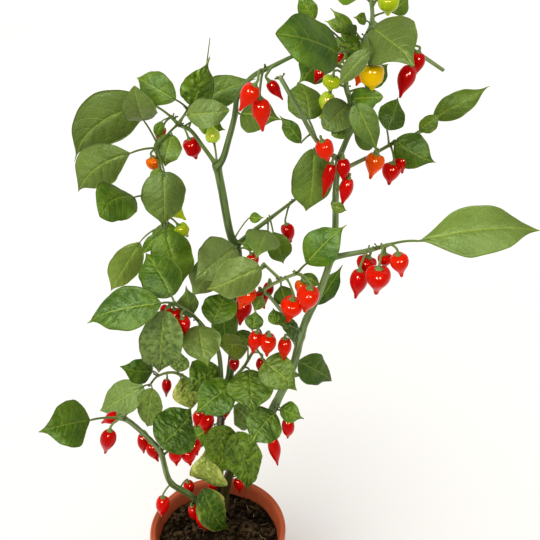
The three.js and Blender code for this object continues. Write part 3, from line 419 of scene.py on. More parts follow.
def circle(count):
    """Angles evenly round a circle."""
    return np.arange(count) * TURN / count


def seen(place, back):
    """The point that shows at a place in the picture, at a distance back from the pot's axis."""
    right = (place[0] - MIDDLE) / FOCAL
    up = (MIDDLE - place[1]) / FOCAL
    sin, cos = math.sin(LOOK_DOWN), math.cos(LOOK_DOWN)
    direction = np.array([right, cos + up * sin, up * cos - sin])
    return EYE + direction * (back - EYE[1]) / direction[1]


def curve_points(points, steps):
    """Points along a centripetal Catmull-Rom curve."""
    points = np.asarray(points, float)
    last = len(points) - 1
    ends = np.vstack([2 * points[0] - points[1], points, 2 * points[-1] - points[-2]])
    out = []
    for t in np.linspace(0, last, steps + 1):
        i = min(int(t), last - 1)
        w = t - i
        p0, p1, p2, p3 = ends[i : i + 4]
        d0, d1, d2 = (max(np.linalg.norm(b - a), 1e-4) ** 0.5 for a, b in ((p0, p1), (p1, p2), (p2, p3)))
        t1 = d1 * ((p1 - p0) / d0 - (p2 - p0) / (d0 + d1) + (p2 - p1) / d1)
        t2 = d1 * ((p2 - p1) / d1 - (p3 - p1) / (d1 + d2) + (p3 - p2) / d2)
        c2 = -3 * p1 + 3 * p2 - 2 * t1 - t2
        c3 = 2 * p1 - 2 * p2 + t1 + t2
        out.append(p1 + t1 * w + c2 * w * w + c3 * w ** 3)
    return np.array(out)


def quadratic(a, b, c, t):
    """Points from a to c on a curve that b pulls towards itself."""
    t = np.asarray(t)[:, None]
    return a * (1 - t) ** 2 + 2 * b * t * (1 - t) + c * t * t


def frames(points, start, outward):
    """Directions across and out along a path, turned as little as possible from the start point."""
    forward = unit(np.gradient(points, axis=0))
    out = np.zeros_like(points)

    def square(v, t):
        return unit(v - t * (v @ t))

    out[start] = square(outward, forward[start])
    for i in range(start + 1, len(points)):
        out[i] = square(out[i - 1], forward[i])
    for i in range(start - 1, -1, -1):
        out[i] = square(out[i + 1], forward[i])
    return np.cross(out, forward), out


def lengths(points):
    """How far along its path each point lies."""
    return np.concatenate([[0], np.cumsum(np.linalg.norm(np.diff(points, axis=0), axis=1))])


def evened(points, step):
    """The same path with its points about a step apart, and how far along it they lie."""
    along = lengths(points)
    count = max(int(along[-1] / step), 2)
    places = np.linspace(0, along[-1], count + 1)
    return np.stack([np.interp(places, along, points[:, k]) for k in range(3)], axis=1), places


def route_of(name):
    """A branch's points. The main stems start well down in the soil."""
    route = BRANCHES[name][2]
    places = [seen((u, v), back) for u, v, back in route]
    if name in FEET:
        x, y = FEET[name]
        places = [np.array([x, y, SOIL_TOP + z], float) for z in FOOT_LEVELS] + places
    return np.array(places)


CURVES = {name: curve_points(route_of(name), CURVE_STEPS) for name in BRANCHES}


def on_branch(name, place):
    """The point of a branch that shows nearest to a place in the picture."""
    curve = CURVES[name]
    off = [np.linalg.norm(seen(place, p[1]) - p) for p in curve]
    return curve[int(np.argmin(off))].copy()


class Shape:
    """Gathers faces for one piece, with three vectors of values at each vertex."""

    def __init__(self):
        self.verts, self.faces, self.slots = [], [], []
        self.values = {"place": [], "vein": [], "look": []}
        self.count = 0

    def add(self, verts, faces, place=None, vein=None, look=None, slots=None):
        verts = np.asarray(verts, float)
        n = len(verts)
        self.verts.append(verts)
        self.faces.extend([tuple(int(k) + self.count for k in face) for face in faces])
        self.slots.extend(slots or [0] * len(faces))
        for key, value in (("place", place), ("vein", vein), ("look", look)):
            value = np.zeros(3) if value is None else np.asarray(value, float)
            self.values[key].append(np.broadcast_to(value, (n, 3)))
        self.count += n

    def piece(self, name, materials, slot, *nodes):
        mesh = bpy.data.meshes.new(name)
        verts = np.vstack(self.verts) * MM
        mesh.from_pydata(verts.tolist(), [], self.faces)
        for key, rows in self.values.items():
            layer = mesh.attributes.new(key, "FLOAT_VECTOR", "POINT")
            layer.data.foreach_set("vector", np.vstack(rows).ravel().astype(np.float32))
        for material in materials:
            mesh.materials.append(material)
        mesh.polygons.foreach_set("material_index", self.slots)
        mesh.polygons.foreach_set("use_smooth", [True] * len(self.faces))
        mesh.update()
        piece = bpy.data.objects.new(name, mesh)
        bpy.context.scene.collection.objects.link(piece)
        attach(piece, "root")
        if nodes:
            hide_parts(*nodes)
        return piece


def grid_faces(rows, columns, closed):
    """Four-sided faces over rows of points, joined round at the columns' ends when closed."""
    faces = []
    wide = columns if closed else columns - 1
    for i in range(rows - 1):
        for j in range(wide):
            a = i * columns + j
            b = i * columns + (j + 1) % columns
            faces.append((a, b, b + columns, a + columns))
    return faces


def ended_faces(rows, around):
    """Faces over rows of points that go round, and over the two points after them that close the ends."""
    faces = grid_faces(rows, around, True)
    first_end = rows * around
    last_row = first_end - around
    for j in range(around):
        k = (j + 1) % around
        faces.append((first_end, k, j))
        faces.append((first_end + 1, last_row + j, last_row + k))
    return faces


# How many ridges a rod has, and how upright its start is when its sides are found from the front.
RIDGES = 5
UPRIGHT = 0.8


def tube(shape, points, radii, sides, look=None, ridges=0.0, turn=0.0):
    """A round rod, closed at both ends, with ridges that run along it.

    The look has one row for all its points, or one for each.
    """
    points = np.asarray(points, float)
    radii = np.asarray(radii, float)
    first = unit(points[1] - points[0])
    side, out = frames(points, 0, np.array([0.0, -1.0, 0.0]) if abs(first[2]) > UPRIGHT else UP)
    angles = circle(sides) + turn
    bump = 1 + ridges * np.cos(RIDGES * angles)
    ring = (
        side[:, None] * (np.cos(angles) * bump)[None, :, None]
        + out[:, None] * (np.sin(angles) * bump)[None, :, None]
    )
    verts = (points[:, None] + ring * radii[:, None, None]).reshape(-1, 3)
    rows = len(points)
    round_it = (np.tile(np.cos(angles), rows), np.tile(np.sin(angles), rows))
    place = np.stack([np.repeat(lengths(points), sides), *round_it], axis=1)
    faces = grid_faces(rows, sides, True)
    faces.append(tuple(reversed(range(sides))))
    faces.append(tuple(range(len(verts) - sides, len(verts))))
    if look is not None and np.ndim(look) == 2:
        look = np.repeat(look, sides, axis=0)
    shape.add(verts, faces, place=place, look=look)


# Leaves.
LEAF_STALK_SIDES = 8

# How far a blade arches, droops at its sides and waves, as shares of its size, and how thick it is.
LEAF_ARCH = 0.18
LEAF_DROOP = 0.16
LEAF_WAVE = 0.04
LEAF_THICK = 0.36
# How long a blade is for its width, when the picture shows it foreshortened.
LEAF_SLENDER = 1.5
# How many pairs of side veins a blade has on its length, for each pair in its traits.
VEIN_SPREAD = 1.12
HALF_ACROSS = [0, 0.04, 0.1, 0.18, 0.28, 0.39, 0.5, 0.61, 0.72, 0.82, 0.91, 1.0]
ACROSS = np.array([-t for t in reversed(HALF_ACROSS[1:])] + HALF_ACROSS)
# Rows of points along a blade that is narrower than each width, in millimetres.
BLADE_ROWS = ((11, 14), (20, 26), (math.inf, 44))
# Heights in the picture, in pixels from its top, between which the leaves turn to low, wrinkled ones.
WRINKLED = (270, 370)


def leaf_traits(index, wide, down, given):
    """All the traits of a leaf: drawn or worked out here, unless its row gives them."""
    draw = random.Random(LEAF_SEED + index)
    low_down = float(smooth(*WRINKLED, down))
    usual = dict(
        sway=draw.uniform(-0.05, 0.05),
        hook=draw.uniform(-1.4, 1.4),
        twist=draw.uniform(-0.3, 0.3),
        base=draw.uniform(0.65, 0.9),
        widest=draw.uniform(0.34, 0.42),
        point=draw.uniform(1.1, 1.45),
        tilts=(draw.uniform(-0.34, 0.34), draw.uniform(-0.34, 0.34)),
        shade=draw.uniform(-0.5, 0.5),
        warmth=max(draw.gauss(0.05, 0.16), 0),
        seed=draw.random(),
        turn=14 * math.sin(2.4 * index),
        bow=0.0,
        cup=0.0,
        curl=0.05,
        drawn=0.62,
        taper=2.1,
        dry=0.0,
        pucker=0.18 + 0.006 * wide + 0.4 * low_down,
        quilt=0.15 + 0.75 * low_down,
        pairs=6 if wide > 30 else 5 if wide > 20 else 4,
    )
    return SimpleNamespace(**{**usual, **given})


def half_width(s, wide, own):
    """Rounds out from the stalk, is widest before the middle and narrows to a drawn-out tip."""
    low = np.clip(s / own.widest, 0, 1)
    high = np.clip((s - own.widest) / (1 - own.widest), 0, 1)
    body = (1 - (1 - low) ** 2) ** own.base * (1 - high ** own.taper) ** own.point
    return wide / 2 * body * (1 - own.drawn * smooth(0.45, 0.95, high))


def bubble(across, along, index):
    """How far a place lies from the creases of a blistered blade: 0 in a crease, near 1 between them.

    Across is measured over the side veins and along with them, in millimetres.
    """
    near, far = noise.voronoi(Vector((0.3 * across, 0.15 * along, 7.0 * index)))[0][:2]
    return 1 - math.exp(-4.5 * (far - near))


def leaf_tip(base, tip, lean, wide):
    """The tip's point. What the picture doesn't show of the blade's length lies in its depth."""
    shown = np.linalg.norm(seen(tip, base[1]) - base)
    hidden = math.sqrt(max((LEAF_SLENDER * wide) ** 2 - shown ** 2, 0))
    return seen(tip, base[1] - lean * hidden)


def blade_spine(base, tip, s, own):
    """Points along the blade's rib, and the directions across the blade and out of it."""
    chord = tip - base
    length = np.linalg.norm(chord)
    axis = chord / length
    facing = unit(EYE - base) * 0.88 + UP * 0.12
    outward = unit(facing - axis * (facing @ axis))
    turn = math.radians(own.turn)
    outward = outward * math.cos(turn) + np.cross(axis, outward) * math.sin(turn)
    sideways = np.cross(outward, axis)
    crown = base + chord * 0.5 + (outward * LEAF_ARCH + sideways * own.bow) * length
    spine = quadratic(base, crown, tip, s)
    return (spine, *frames(spine, 3, outward))


def blade_places(s, length, index, wide, own):
    """Values over the blade: S along it, T across it, and what follows from them."""
    at = SimpleNamespace()
    at.S, at.T = np.meshgrid(s, ACROSS, indexing="ij")
    at.A = np.abs(at.T)
    at.sign = np.where(at.T < 0, -1.0, 1.0)
    ragged = 1 + 0.018 * np.sin(17 * at.S + 1.7 * index + at.sign)
    ragged += 0.008 * np.sin(33 * at.S + 0.9 * index - at.sign)
    at.half = np.maximum(half_width(at.S, wide, own) * ragged, 0.25)
    lead = 0.4 * at.A ** 1.25 * (1 - 0.6 * at.S)
    at.phase = own.pairs * (at.S - lead) * VEIN_SPREAD + np.where(at.T < 0, 0.0, 0.42)
    at.veins_apart = length / (own.pairs * VEIN_SPREAD)
    at.ends = smooth(0.02, 0.12, at.S) * (1 - smooth(0.86, 1.0, at.S))
    cells = zip((at.phase * at.veins_apart).ravel(), (at.T * at.half).ravel())
    at.raised = np.array([bubble(across, along, index) for across, along in cells]).reshape(at.S.shape)
    return at


def blade_height(at, index, wide, own):
    """How high the blade stands over its spine: its droop, waves, swellings, twist and groove."""
    S, T, A, sign, half = at.S, at.T, at.A, at.sign, at.half
    swell = 1 - np.abs(np.cos(math.pi * at.phase)) ** 1.6
    tilt = np.where(T < 0, *own.tilts) * np.sin(math.pi * np.clip(S * 0.9 + 0.08, 0, 1))
    height = -LEAF_DROOP * half * A ** 1.7 + (own.cup + tilt) * half * A ** 1.3
    height += 1.3 * LEAF_WAVE * wide * np.sin(9 * S + 2.1 * index + sign) * np.sin(math.pi * S) * A ** 1.6
    height += 0.014 * wide * np.sin(19 * S + 1.3 * index + 2 * sign) * A ** 3 * at.ends
    swollen = own.pucker * (1 - 0.6 * min(own.quilt, 1)) * swell
    height += swollen * (1 - A ** 3) * np.minimum(A / 0.12, 1) * at.ends
    height += own.twist * T * half * (S - 0.25)
    height -= (0.18 + 0.009 * wide) * bell(A * half, 0, 1.1) * (1 - 0.6 * S)
    return height - own.curl * wide * smooth(0.75, 1.0, S)


def blade_rough(P, at, index, own):
    """Wrinkles and blisters, which leave the rib and the blade's ends smooth."""
    rough = [noise.noise(Vector(p) * 0.17 + Vector((index, 0, 0))) for p in P.reshape(-1, 3)]
    finer = [noise.noise(Vector(p) * 0.4) for p in P.reshape(-1, 3)]
    rough = (np.array(rough) + 0.6 * np.array(finer)).reshape(at.S.shape)
    blistered = 2.0 * own.quilt * (at.raised - 0.6) * (1 - at.A ** 4)
    return (0.9 * own.pucker * rough + blistered) * at.ends * np.minimum(at.A / 0.1, 1)


def blade_edge(rows, columns, flip):
    """Faces that join the upper side's rim to the lower side's."""
    n = rows * columns
    rim = list(range(columns))
    rim += [i * columns + columns - 1 for i in range(1, rows)]
    rim += [(rows - 1) * columns + j for j in range(columns - 2, -1, -1)]
    rim += [i * columns for i in range(rows - 2, 0, -1)]
    following = rim[1:] + rim[:1]
    return [(a, b, b + n, a + n) if flip else (b, a, a + n, b + n) for a, b in zip(rim, following)]


def add_blade(blades, index, wide, own, length, s, spine, side, out):
    """A blade with an upper and an under side, thicker along its rib."""
    at = blade_places(s, length, index, wide, own)
    S, T, A, half = at.S, at.T, at.A, at.half
    bend = own.sway * wide * np.sin(math.pi * S) + 0.05 * wide * own.hook * smooth(0.7, 1, S)
    height = blade_height(at, index, wide, own)
    P = spine[:, None] + side[:, None] * (T * half + bend)[..., None] + out[:, None] * height[..., None]
    P = P + out[:, None] * blade_rough(P, at, index, own)[..., None]

    down = np.gradient(P, axis=0)
    right = np.gradient(P, axis=1)
    normal = unit(np.cross(right, down))
    if np.sum(normal * out[:, None]) < 0:
        normal = -normal
    rib = 0.85 * (0.5 + 0.02 * wide) * bell(A * half, 0, 0.75) * (1 - 0.8 * S)
    thick = LEAF_THICK * (1 - 0.6 * A ** 6) + rib
    under = P - normal * thick[..., None]

    rows, columns = S.shape
    faces_up = grid_faces(rows, columns, False)
    flip = np.sum(np.cross(right[1, 1], down[1, 1]) * out[1]) < 0
    if not flip:
        faces_up = [tuple(reversed(f)) for f in faces_up]
    faces_low = [tuple(k + rows * columns for k in reversed(f)) for f in faces_up]
    edge = blade_edge(rows, columns, flip)

    def twice(*values):
        """Values for the upper side and the same for the lower one."""
        one = np.stack([np.broadcast_to(v, S.shape) for v in values], axis=-1).reshape(-1, 3)
        return np.vstack([one, one])

    # Painted shade in the blisters' creases above 0, and painted highlight on their crowns below 0.
    crease = own.quilt * (0.55 - at.raised) * at.ends
    blades.add(
        np.vstack([P.reshape(-1, 3), under.reshape(-1, 3)]),
        faces_up + edge + faces_low,
        place=twice(S, T, half),
        vein=twice(at.phase, at.veins_apart, own.dry),
        look=twice(own.shade, own.warmth, crease),
        slots=[0] * (len(faces_up) + len(edge)) + [1] * len(faces_low),
    )


def add_leaf(blades, stalks, index, row):
    """A leaf's blade, and its stalk from the branch to the blade's base."""
    branch, root_at, base_at, tip_at, near, lean, wide, given = row
    root = on_branch(branch, root_at)
    base = seen(base_at, root[1] - near)
    tip = leaf_tip(base, tip_at, lean, wide)
    wide = wide * given.get("broad", 1)
    own = leaf_traits(index, wide, base_at[1], given)
    rows = next(rows for limit, rows in BLADE_ROWS if wide < limit)
    s = 0.012 + 0.988 * np.linspace(0, 1, rows) ** 1.08
    spine, side, out = blade_spine(base, tip, s, own)
    add_blade(blades, index, wide, own, np.linalg.norm(tip - base), s, spine, side, out)

    reach = np.linalg.norm(base - root)
    steps = max(int(reach / 1.6), 4)
    elbow = root + (base - root) * 0.55 + UP * 0.12 * reach
    path = quadratic(root, elbow, base, np.linspace(0, 1, steps))
    path = np.vstack([path, spine[2:5] - out[2:5] * 0.35])
    far = np.linspace(0, 1, len(path))
    size = 0.48 + 0.011 * wide
    radii = size * (1 + 0.75 * np.exp(-far * 9) - 0.28 * smooth(0.6, 1, far))
    tube(stalks, path, radii, LEAF_STALK_SIDES, look=(0.15, 0.25 + own.warmth, own.seed), ridges=0.05)


# Chillies. The outline gives how far down the fruit from its top to its tip, and how wide it is there
# in a short fruit with broad shoulders and in a long one that is shaped like a drop.
OUTLINE = np.array(
    [
        (0.0, 0.0, 0.0), (0.012, 0.30, 0.25), (0.03, 0.54, 0.43), (0.07, 0.77, 0.63), (0.13, 0.91, 0.8),
        (0.2, 0.98, 0.91), (0.27, 1.0, 0.97), (0.35, 0.985, 1.0), (0.44, 0.92, 0.97), (0.53, 0.8, 0.88),
        (0.61, 0.66, 0.75), (0.68, 0.52, 0.61), (0.75, 0.38, 0.45), (0.81, 0.285, 0.32),
        (0.87, 0.225, 0.235), (0.92, 0.19, 0.185), (0.96, 0.155, 0.15), (0.985, 0.105, 0.1),
        (0.996, 0.05, 0.05), (1.0, 0.0, 0.0),
    ]
)
# A fruit's length for its width, up to which its form is all short and from which it is all long.
LONG_FRUIT = (1.3, 1.9)
FRUIT_SIDES = 28
PEDICEL_SIDES = 15
# The cap on a chilli's stalk: how far down the fruit's axis each ring is, in millimetres, and how wide.
CAP_OUTLINE = [
    (-1.5, 0.42), (-0.85, 0.66), (-0.4, 0.86), (-0.05, 0.98), (0.35, 1.06), (0.75, 1.1), (0.8, 1.02)
]
CAP_SIZE = 0.27 * 0.58
CAP_LEAST = 1.15
PEDICEL_NECK = 3.35


def fruit_places(row):
    """Where a chilli hangs from, its top, its tip and its width."""
    _, branch, root_at, top_at, tip_at, near, wide, _ = row
    root = on_branch(branch, root_at)
    top = seen(top_at, root[1] - near)
    tip = seen(tip_at, root[1] - near)
    return root, top, tip, wide


def fruit_radii(length, wide, given):
    """How far down the fruit its rings are, and how wide each is."""
    levels = np.concatenate([OUTLINE[:-1, 0], (OUTLINE[:-1, 0] + OUTLINE[1:, 0]) / 2, [1.0]])
    levels = np.unique(levels)[1:-1]
    level, broad, drop = curve_points(OUTLINE, 240).T
    outline = broad + (drop - broad) * smooth(*LONG_FRUIT, length / wide)
    outline += 0.3 * given.get("full", 0) * bell(level, 0.66, 0.17)
    return levels, np.interp(levels, level, outline) * wide / 2 * given.get("thick", 0.96)


def add_fruit(shape, index, row):
    """A chilli with three or four soft lobes, dented at its top and bent a little at its beak."""
    top, tip, wide = fruit_places(row)[1:]
    given = row[-1]
    draw = random.Random(FRUIT_SEED + index)
    length = np.linalg.norm(tip - top)
    axis = (tip - top) / length
    side = unit(np.cross(axis, np.array([0.0, 1.0, 0.0]) if abs(axis[1]) < 0.9 else UP))
    out = np.cross(axis, side)
    levels, radius = fruit_radii(length, wide, given)
    lobes = draw.choice([3, 4])
    turn = draw.uniform(0, 6.28)
    H, G = np.meshgrid(levels, circle(FRUIT_SIDES), indexing="ij")
    lobe = 1 + (0.028 * np.cos(lobes * G + turn) + 0.02 * np.cos(2 * G + 2 * turn)) * (1 - smooth(0.75, 1, H))
    dent = 1 - 0.05 * bell(H, 0.62, 0.1) * (0.5 + 0.5 * np.cos(G * 3 + turn * 2))
    R = radius[:, None] * lobe * dent
    swing = draw.uniform(-0.05, 0.05) * wide
    swing_out = draw.uniform(-0.05, 0.05) * wide
    late = np.clip((H - 0.55) / 0.45, 0, 1) ** 2
    dip = 0.05 * wide * bell(R, 0, 0.22 * wide) * (H < 0.2)
    rise = 0.03 * wide * np.cos(lobes * G + turn) * bell(H, 0.06, 0.06)
    P = (
        top
        + axis * (H * length + dip - rise)[..., None]
        + side * (R * np.cos(G) + swing * late)[..., None]
        + out * (R * np.sin(G) + swing_out * late)[..., None]
    )
    first = top + axis * 0.05 * wide
    final = tip + side * swing + out * swing_out
    verts = np.vstack([P.reshape(-1, 3), first, final])
    place = np.stack([H, np.cos(G), np.sin(G)], axis=-1).reshape(-1, 3)
    place = np.vstack([place, (0, 1, 0), (1, 1, 0)])
    look = (draw.random(), given.get("ripe", 0.1), wide)
    shape.add(verts, ended_faces(len(levels), FRUIT_SIDES), place=place, look=look)


def add_pedicel(shape, index, row):
    """A chilli's own stalk, with the cap that holds the chilli."""
    root, top, tip, wide = fruit_places(row)
    draw = random.Random(PEDICEL_SEED + index)
    axis = unit(tip - top)
    end = top + axis * 0.03 * wide
    neck = top - axis * PEDICEL_NECK
    reach = np.linalg.norm(root - neck)
    elbow = (neck + root) / 2 + UP * 0.25 * reach
    steps = max(int(reach / 1.2), 5)
    bow = quadratic(root, elbow, neck, np.linspace(0, 1, steps))
    path, along = evened(curve_points(np.vstack([bow[:-1:2], bow[-1], end]), 8 * steps), 0.9)
    far = along / along[-1]
    left = along[-1] - along
    radii = 0.78 + 0.55 * np.exp(-far * 8) + (0.1 + 0.022 * wide) * np.exp(-left / 2.6)
    stem_end = len(path) - 2
    path = np.vstack([path[:stem_end], [top + axis * h for h, _ in CAP_OUTLINE]])
    radii = np.append(radii[:stem_end], [max(CAP_SIZE * wide * r, CAP_LEAST) for _, r in CAP_OUTLINE])
    keep = [0]
    for k in range(1, len(path)):
        step = (path[k] - path[keep[-1]]) @ axis if k >= stem_end else 1.0
        if step > 0.02:
            keep.append(k)
    look = (0.25, 0.75, draw.random())
    turn = draw.uniform(0, 6)
    tube(shape, path[keep], radii[keep], PEDICEL_SIDES, look=look, ridges=0.06, turn=turn)


# Materials.
class Paint:
    """A node material, built with short calls."""

    def __init__(self, name):
        self.material = bpy.data.materials.new(name)
        self.material.use_nodes = True
        self.tree = self.material.node_tree
        self.shader = self.tree.nodes["Principled BSDF"]

    def put(self, value, socket):
        if isinstance(value, bpy.types.NodeSocket):
            self.tree.links.new(value, socket)
        else:
            socket.default_value = value

    def node(self, kind, *values, **settings):
        """A node with its settings, and with values for its first inputs."""
        made = self.tree.nodes.new(kind)
        for key, value in settings.items():
            setattr(made, key, value)
        for value, socket in zip(values, made.inputs):
            self.put(value, socket)
        return made

    def math(self, operation, *values):
        return self.node("ShaderNodeMath", *values, operation=operation).outputs[0]

    def times(self, a, b):
        return self.math("MULTIPLY", a, b)

    def plus(self, a, b):
        return self.math("ADD", a, b)

    def minus(self, a, b):
        return self.math("SUBTRACT", a, b)

    def line(self, value, slope, start):
        return self.math("MULTIPLY_ADD", value, slope, start)

    def ramp(self, value, low, high, to_low=0.0, to_high=1.0):
        values = (value, low, high, to_low, to_high)
        return self.node("ShaderNodeMapRange", *values, interpolation_type="SMOOTHSTEP").outputs[0]

    def mix(self, share, a, b):
        made = self.node("ShaderNodeMix", share, data_type="RGBA")
        self.put(a, made.inputs[6])
        self.put(b, made.inputs[7])
        return made.outputs[2]

    def over(self, base, color, share, most=1.0):
        """The base with a colour laid over it, by a share of the most that it covers."""
        return self.mix(share if most == 1.0 else self.times(share, most), base, color)

    def split(self, vector):
        return self.node("ShaderNodeSeparateXYZ", vector).outputs

    def values(self, name):
        return self.split(self.node("ShaderNodeAttribute", attribute_name=name).outputs["Vector"])

    def joined(self, *values):
        return self.node("ShaderNodeCombineXYZ", *values).outputs[0]

    def objects(self):
        return self.node("ShaderNodeTexCoord").outputs["Object"]

    def noise(self, scale, detail=3.0, vector=None, roughness=0.5):
        made = self.node("ShaderNodeTexNoise", self.objects() if vector is None else vector)
        self.put(scale, made.inputs["Scale"])
        self.put(detail, made.inputs["Detail"])
        self.put(roughness, made.inputs["Roughness"])
        return made.outputs[0]

    def cells(self, scale, feature="F1"):
        made = self.node("ShaderNodeTexVoronoi", self.objects(), feature=feature)
        self.put(scale, made.inputs["Scale"])
        return made.outputs["Distance"]

    def bump(self, height, strength, distance):
        """A relief, with its distance in millimetres."""
        made = self.node("ShaderNodeBump")
        self.put(height, made.inputs["Height"])
        self.put(strength, made.inputs["Strength"])
        self.put(distance * MM, made.inputs["Distance"])
        self.put(made.outputs[0], self.shader.inputs["Normal"])

    def finish(self, color, roughness, **sockets):
        self.put(color, self.shader.inputs["Base Color"])
        self.put(roughness, self.shader.inputs["Roughness"])
        for key, value in sockets.items():
            self.put(value, self.shader.inputs[key.replace("_", " ")])
        return self.material


def rgb(r, g, b):
    """A colour given as it looks on a screen, from 0 to 255."""
    linear = [(c / 255 / 12.92) if c <= 10 else ((c / 255 + 0.055) / 1.055) ** 2.4 for c in (r, g, b)]
    return (*linear, 1.0)


# The deep and the bright green of each side of a leaf, and the colour of its veins.
LEAF_COLORS = {
    "leaf_top": (rgb(32, 70, 0), rgb(90, 120, 0), rgb(142, 158, 46)),
    "leaf_under": (rgb(84, 100, 38), rgb(106, 122, 52), rgb(134, 146, 74)),
}


def rib_and_vein(p, s, across, half, phase, spacing):
    """Where the rib and the side veins are, with veins that wander a little and thin out."""
    rib_wide = p.line(s, -0.45, 0.85)
    rib = p.minus(1.0, p.ramp(p.times(across, half), p.times(rib_wide, 0.35), rib_wide))
    loose = p.plus(phase, p.line(p.noise(90.0, 2.0), 0.24, -0.12))
    off = p.minus(0.5, p.math("ABSOLUTE", p.minus(p.math("FRACT", loose), 0.5)))
    vein_wide = p.ramp(across, 0.0, 0.95, 0.62, 0.22)
    vein = p.minus(1.0, p.ramp(p.times(off, spacing), p.times(vein_wide, 0.3), vein_wide))
    return rib, p.times(vein, p.times(p.ramp(across, 0.82, 0.99, 1.0, 0.0), p.ramp(s, 0.02, 0.08)))


def leaf_material(name):
    under = name == "leaf_under"
    deep, bright, vein_color = LEAF_COLORS[name]
    p = Paint(name)
    s, t, half = p.values("place")
    phase, spacing, dry = p.values("vein")
    shade, warmth, crease = p.values("look")
    across = p.math("ABSOLUTE", t)
    rib, vein = rib_and_vein(p, s, across, half, phase, spacing)
    net_edge = p.cells(360.0, feature="DISTANCE_TO_EDGE")
    blister = p.cells(230.0)
    patches = p.noise(55.0)
    fine = p.noise(420.0, 2.0)

    base = p.mix(p.ramp(patches, 0.3, 0.72), deep, bright)
    # The shade trait, partly the leaf's own tone and partly painted light and painted shade: lighter above 0,
    # darker below, darker still past -0.6.
    base = p.mix(p.ramp(shade, -0.6, 0.7), p.mix(0.42, base, deep), p.mix(0.45, base, bright))
    base = p.over(base, rgb(30, 52, 4), p.ramp(shade, -0.6, -2.0, 0.0, 0.8))
    base = p.over(base, rgb(112, 120, 36), warmth)
    base = p.over(base, rgb(104, 120, 56), p.ramp(fine, 0.5, 0.75), 0.14)
    # Painted sheen: greyish patches on the leaves whose dry trait is below 0.
    painted_sheen = p.times(p.times(dry, -1.0), p.ramp(patches, 0.2, 0.6, 0.75, 1.0))
    base = p.over(base, rgb(98, 114, 60), painted_sheen)
    # Painted shade in the creases between blisters, and a painted highlight on their crowns.
    base = p.over(base, rgb(22, 50, 4), crease, 0.9)
    base = p.over(base, rgb(116, 140, 76), crease, -0.5)
    base = p.over(base, vein_color, p.minus(1.0, p.ramp(net_edge, 0.0, 0.14)), 0.07)
    base = p.over(base, vein_color, vein, 0.22)
    base = p.over(base, vein_color, rib, 0.42)
    base = p.over(base, rgb(108, 114, 44), p.ramp(across, 0.965, 1.0, 0.0, 0.3))
    withered = p.times(dry, p.ramp(p.line(patches, 0.9, across), 1.2, 1.5))
    base = p.over(base, rgb(158, 152, 78), withered)
    mottled = p.times(p.ramp(dry, 0.9, 1.6), p.ramp(blister, 0.2, 0.5, 0.85, 0.3))
    base = p.over(base, rgb(176, 190, 98), mottled)
    gloss = p.plus(p.line(patches, 0.2, 0.5 if under else 0.35), p.times(vein, 0.08))
    height = p.plus(p.times(net_edge, 0.9), p.times(fine, 0.35))
    height = p.minus(height, p.times(vein, 0.6))
    height = p.minus(height, p.times(p.times(blister, blister), 0.35))
    p.bump(height, 0.45 if under else 0.5, 0.6)
    return p.finish(base, gloss, Specular_IOR_Level=0.28, Specular_Tint=(0.75, 1.0, 0.5, 1))


def stem_material():
    p = Paint("stem_green")
    along, c, s = p.values("place")
    shade, warmth, seed = p.values("look")
    streaked = p.joined(p.times(c, 1.6), p.times(s, 1.6), p.line(along, 0.035, p.times(seed, 9.0)))
    streak = p.noise(1.0, vector=streaked)
    patch = p.noise(0.11, vector=p.joined(c, s, p.plus(along, p.times(seed, 90.0))))
    fine = p.noise(900.0, 2.0)
    base = p.mix(p.ramp(streak, 0.42, 0.58), rgb(46, 70, 22), rgb(96, 122, 50))
    base = p.over(base, rgb(72, 56, 44), p.ramp(patch, 0.48, 0.75), 0.35)
    base = p.over(base, rgb(96, 118, 28), warmth)
    # Paler above 0, partly the stem's own colour and partly painted light; browner below 0, where it is
    # woody.
    base = p.over(base, p.mix(p.ramp(streak, 0.4, 0.6), rgb(112, 132, 70), rgb(158, 182, 128)), shade)
    base = p.over(base, p.mix(streak, rgb(46, 26, 18), rgb(88, 60, 40)), shade, -1.0)
    base = p.over(base, rgb(130, 138, 84), p.ramp(fine, 0.55, 0.8), 0.15)
    p.bump(p.plus(p.times(streak, 1.2), p.times(fine, 0.5)), 0.35, 0.3)
    return p.finish(base, p.line(streak, 0.15, 0.38), Specular_IOR_Level=0.3)


def cut_material():
    p = Paint("cut_wood")
    grain = p.noise(1400.0)
    p.bump(grain, 0.4, 0.2)
    return p.finish(p.mix(grain, rgb(186, 190, 140), rgb(128, 118, 74)), 0.7)


# Chilli paints: at the top, on the body, at the tip and in blushes, when less ripe and when riper, and
# how strong the blushes are.
FRUIT_COLORS = {
    "red": ((214, 18, 0), (200, 2, 0), (170, 0, 0), (226, 40, 2), (236, 44, 0), (172, 0, 2)),
    "orange": ((244, 106, 4), (242, 78, 0), (220, 40, 0), (244, 128, 6), (246, 130, 8), (228, 48, 0)),
    "yellow": ((236, 204, 8), (238, 196, 0), (190, 196, 24), (236, 150, 4), (236, 200, 20), (224, 150, 0)),
    "green": ((146, 180, 16), (178, 202, 26), (188, 202, 36), (202, 212, 48), (194, 222, 70), (132, 156, 18)),
}
BLUSHES = {"red": 0.4, "orange": 0.5, "yellow": 0.25, "green": 0.5}


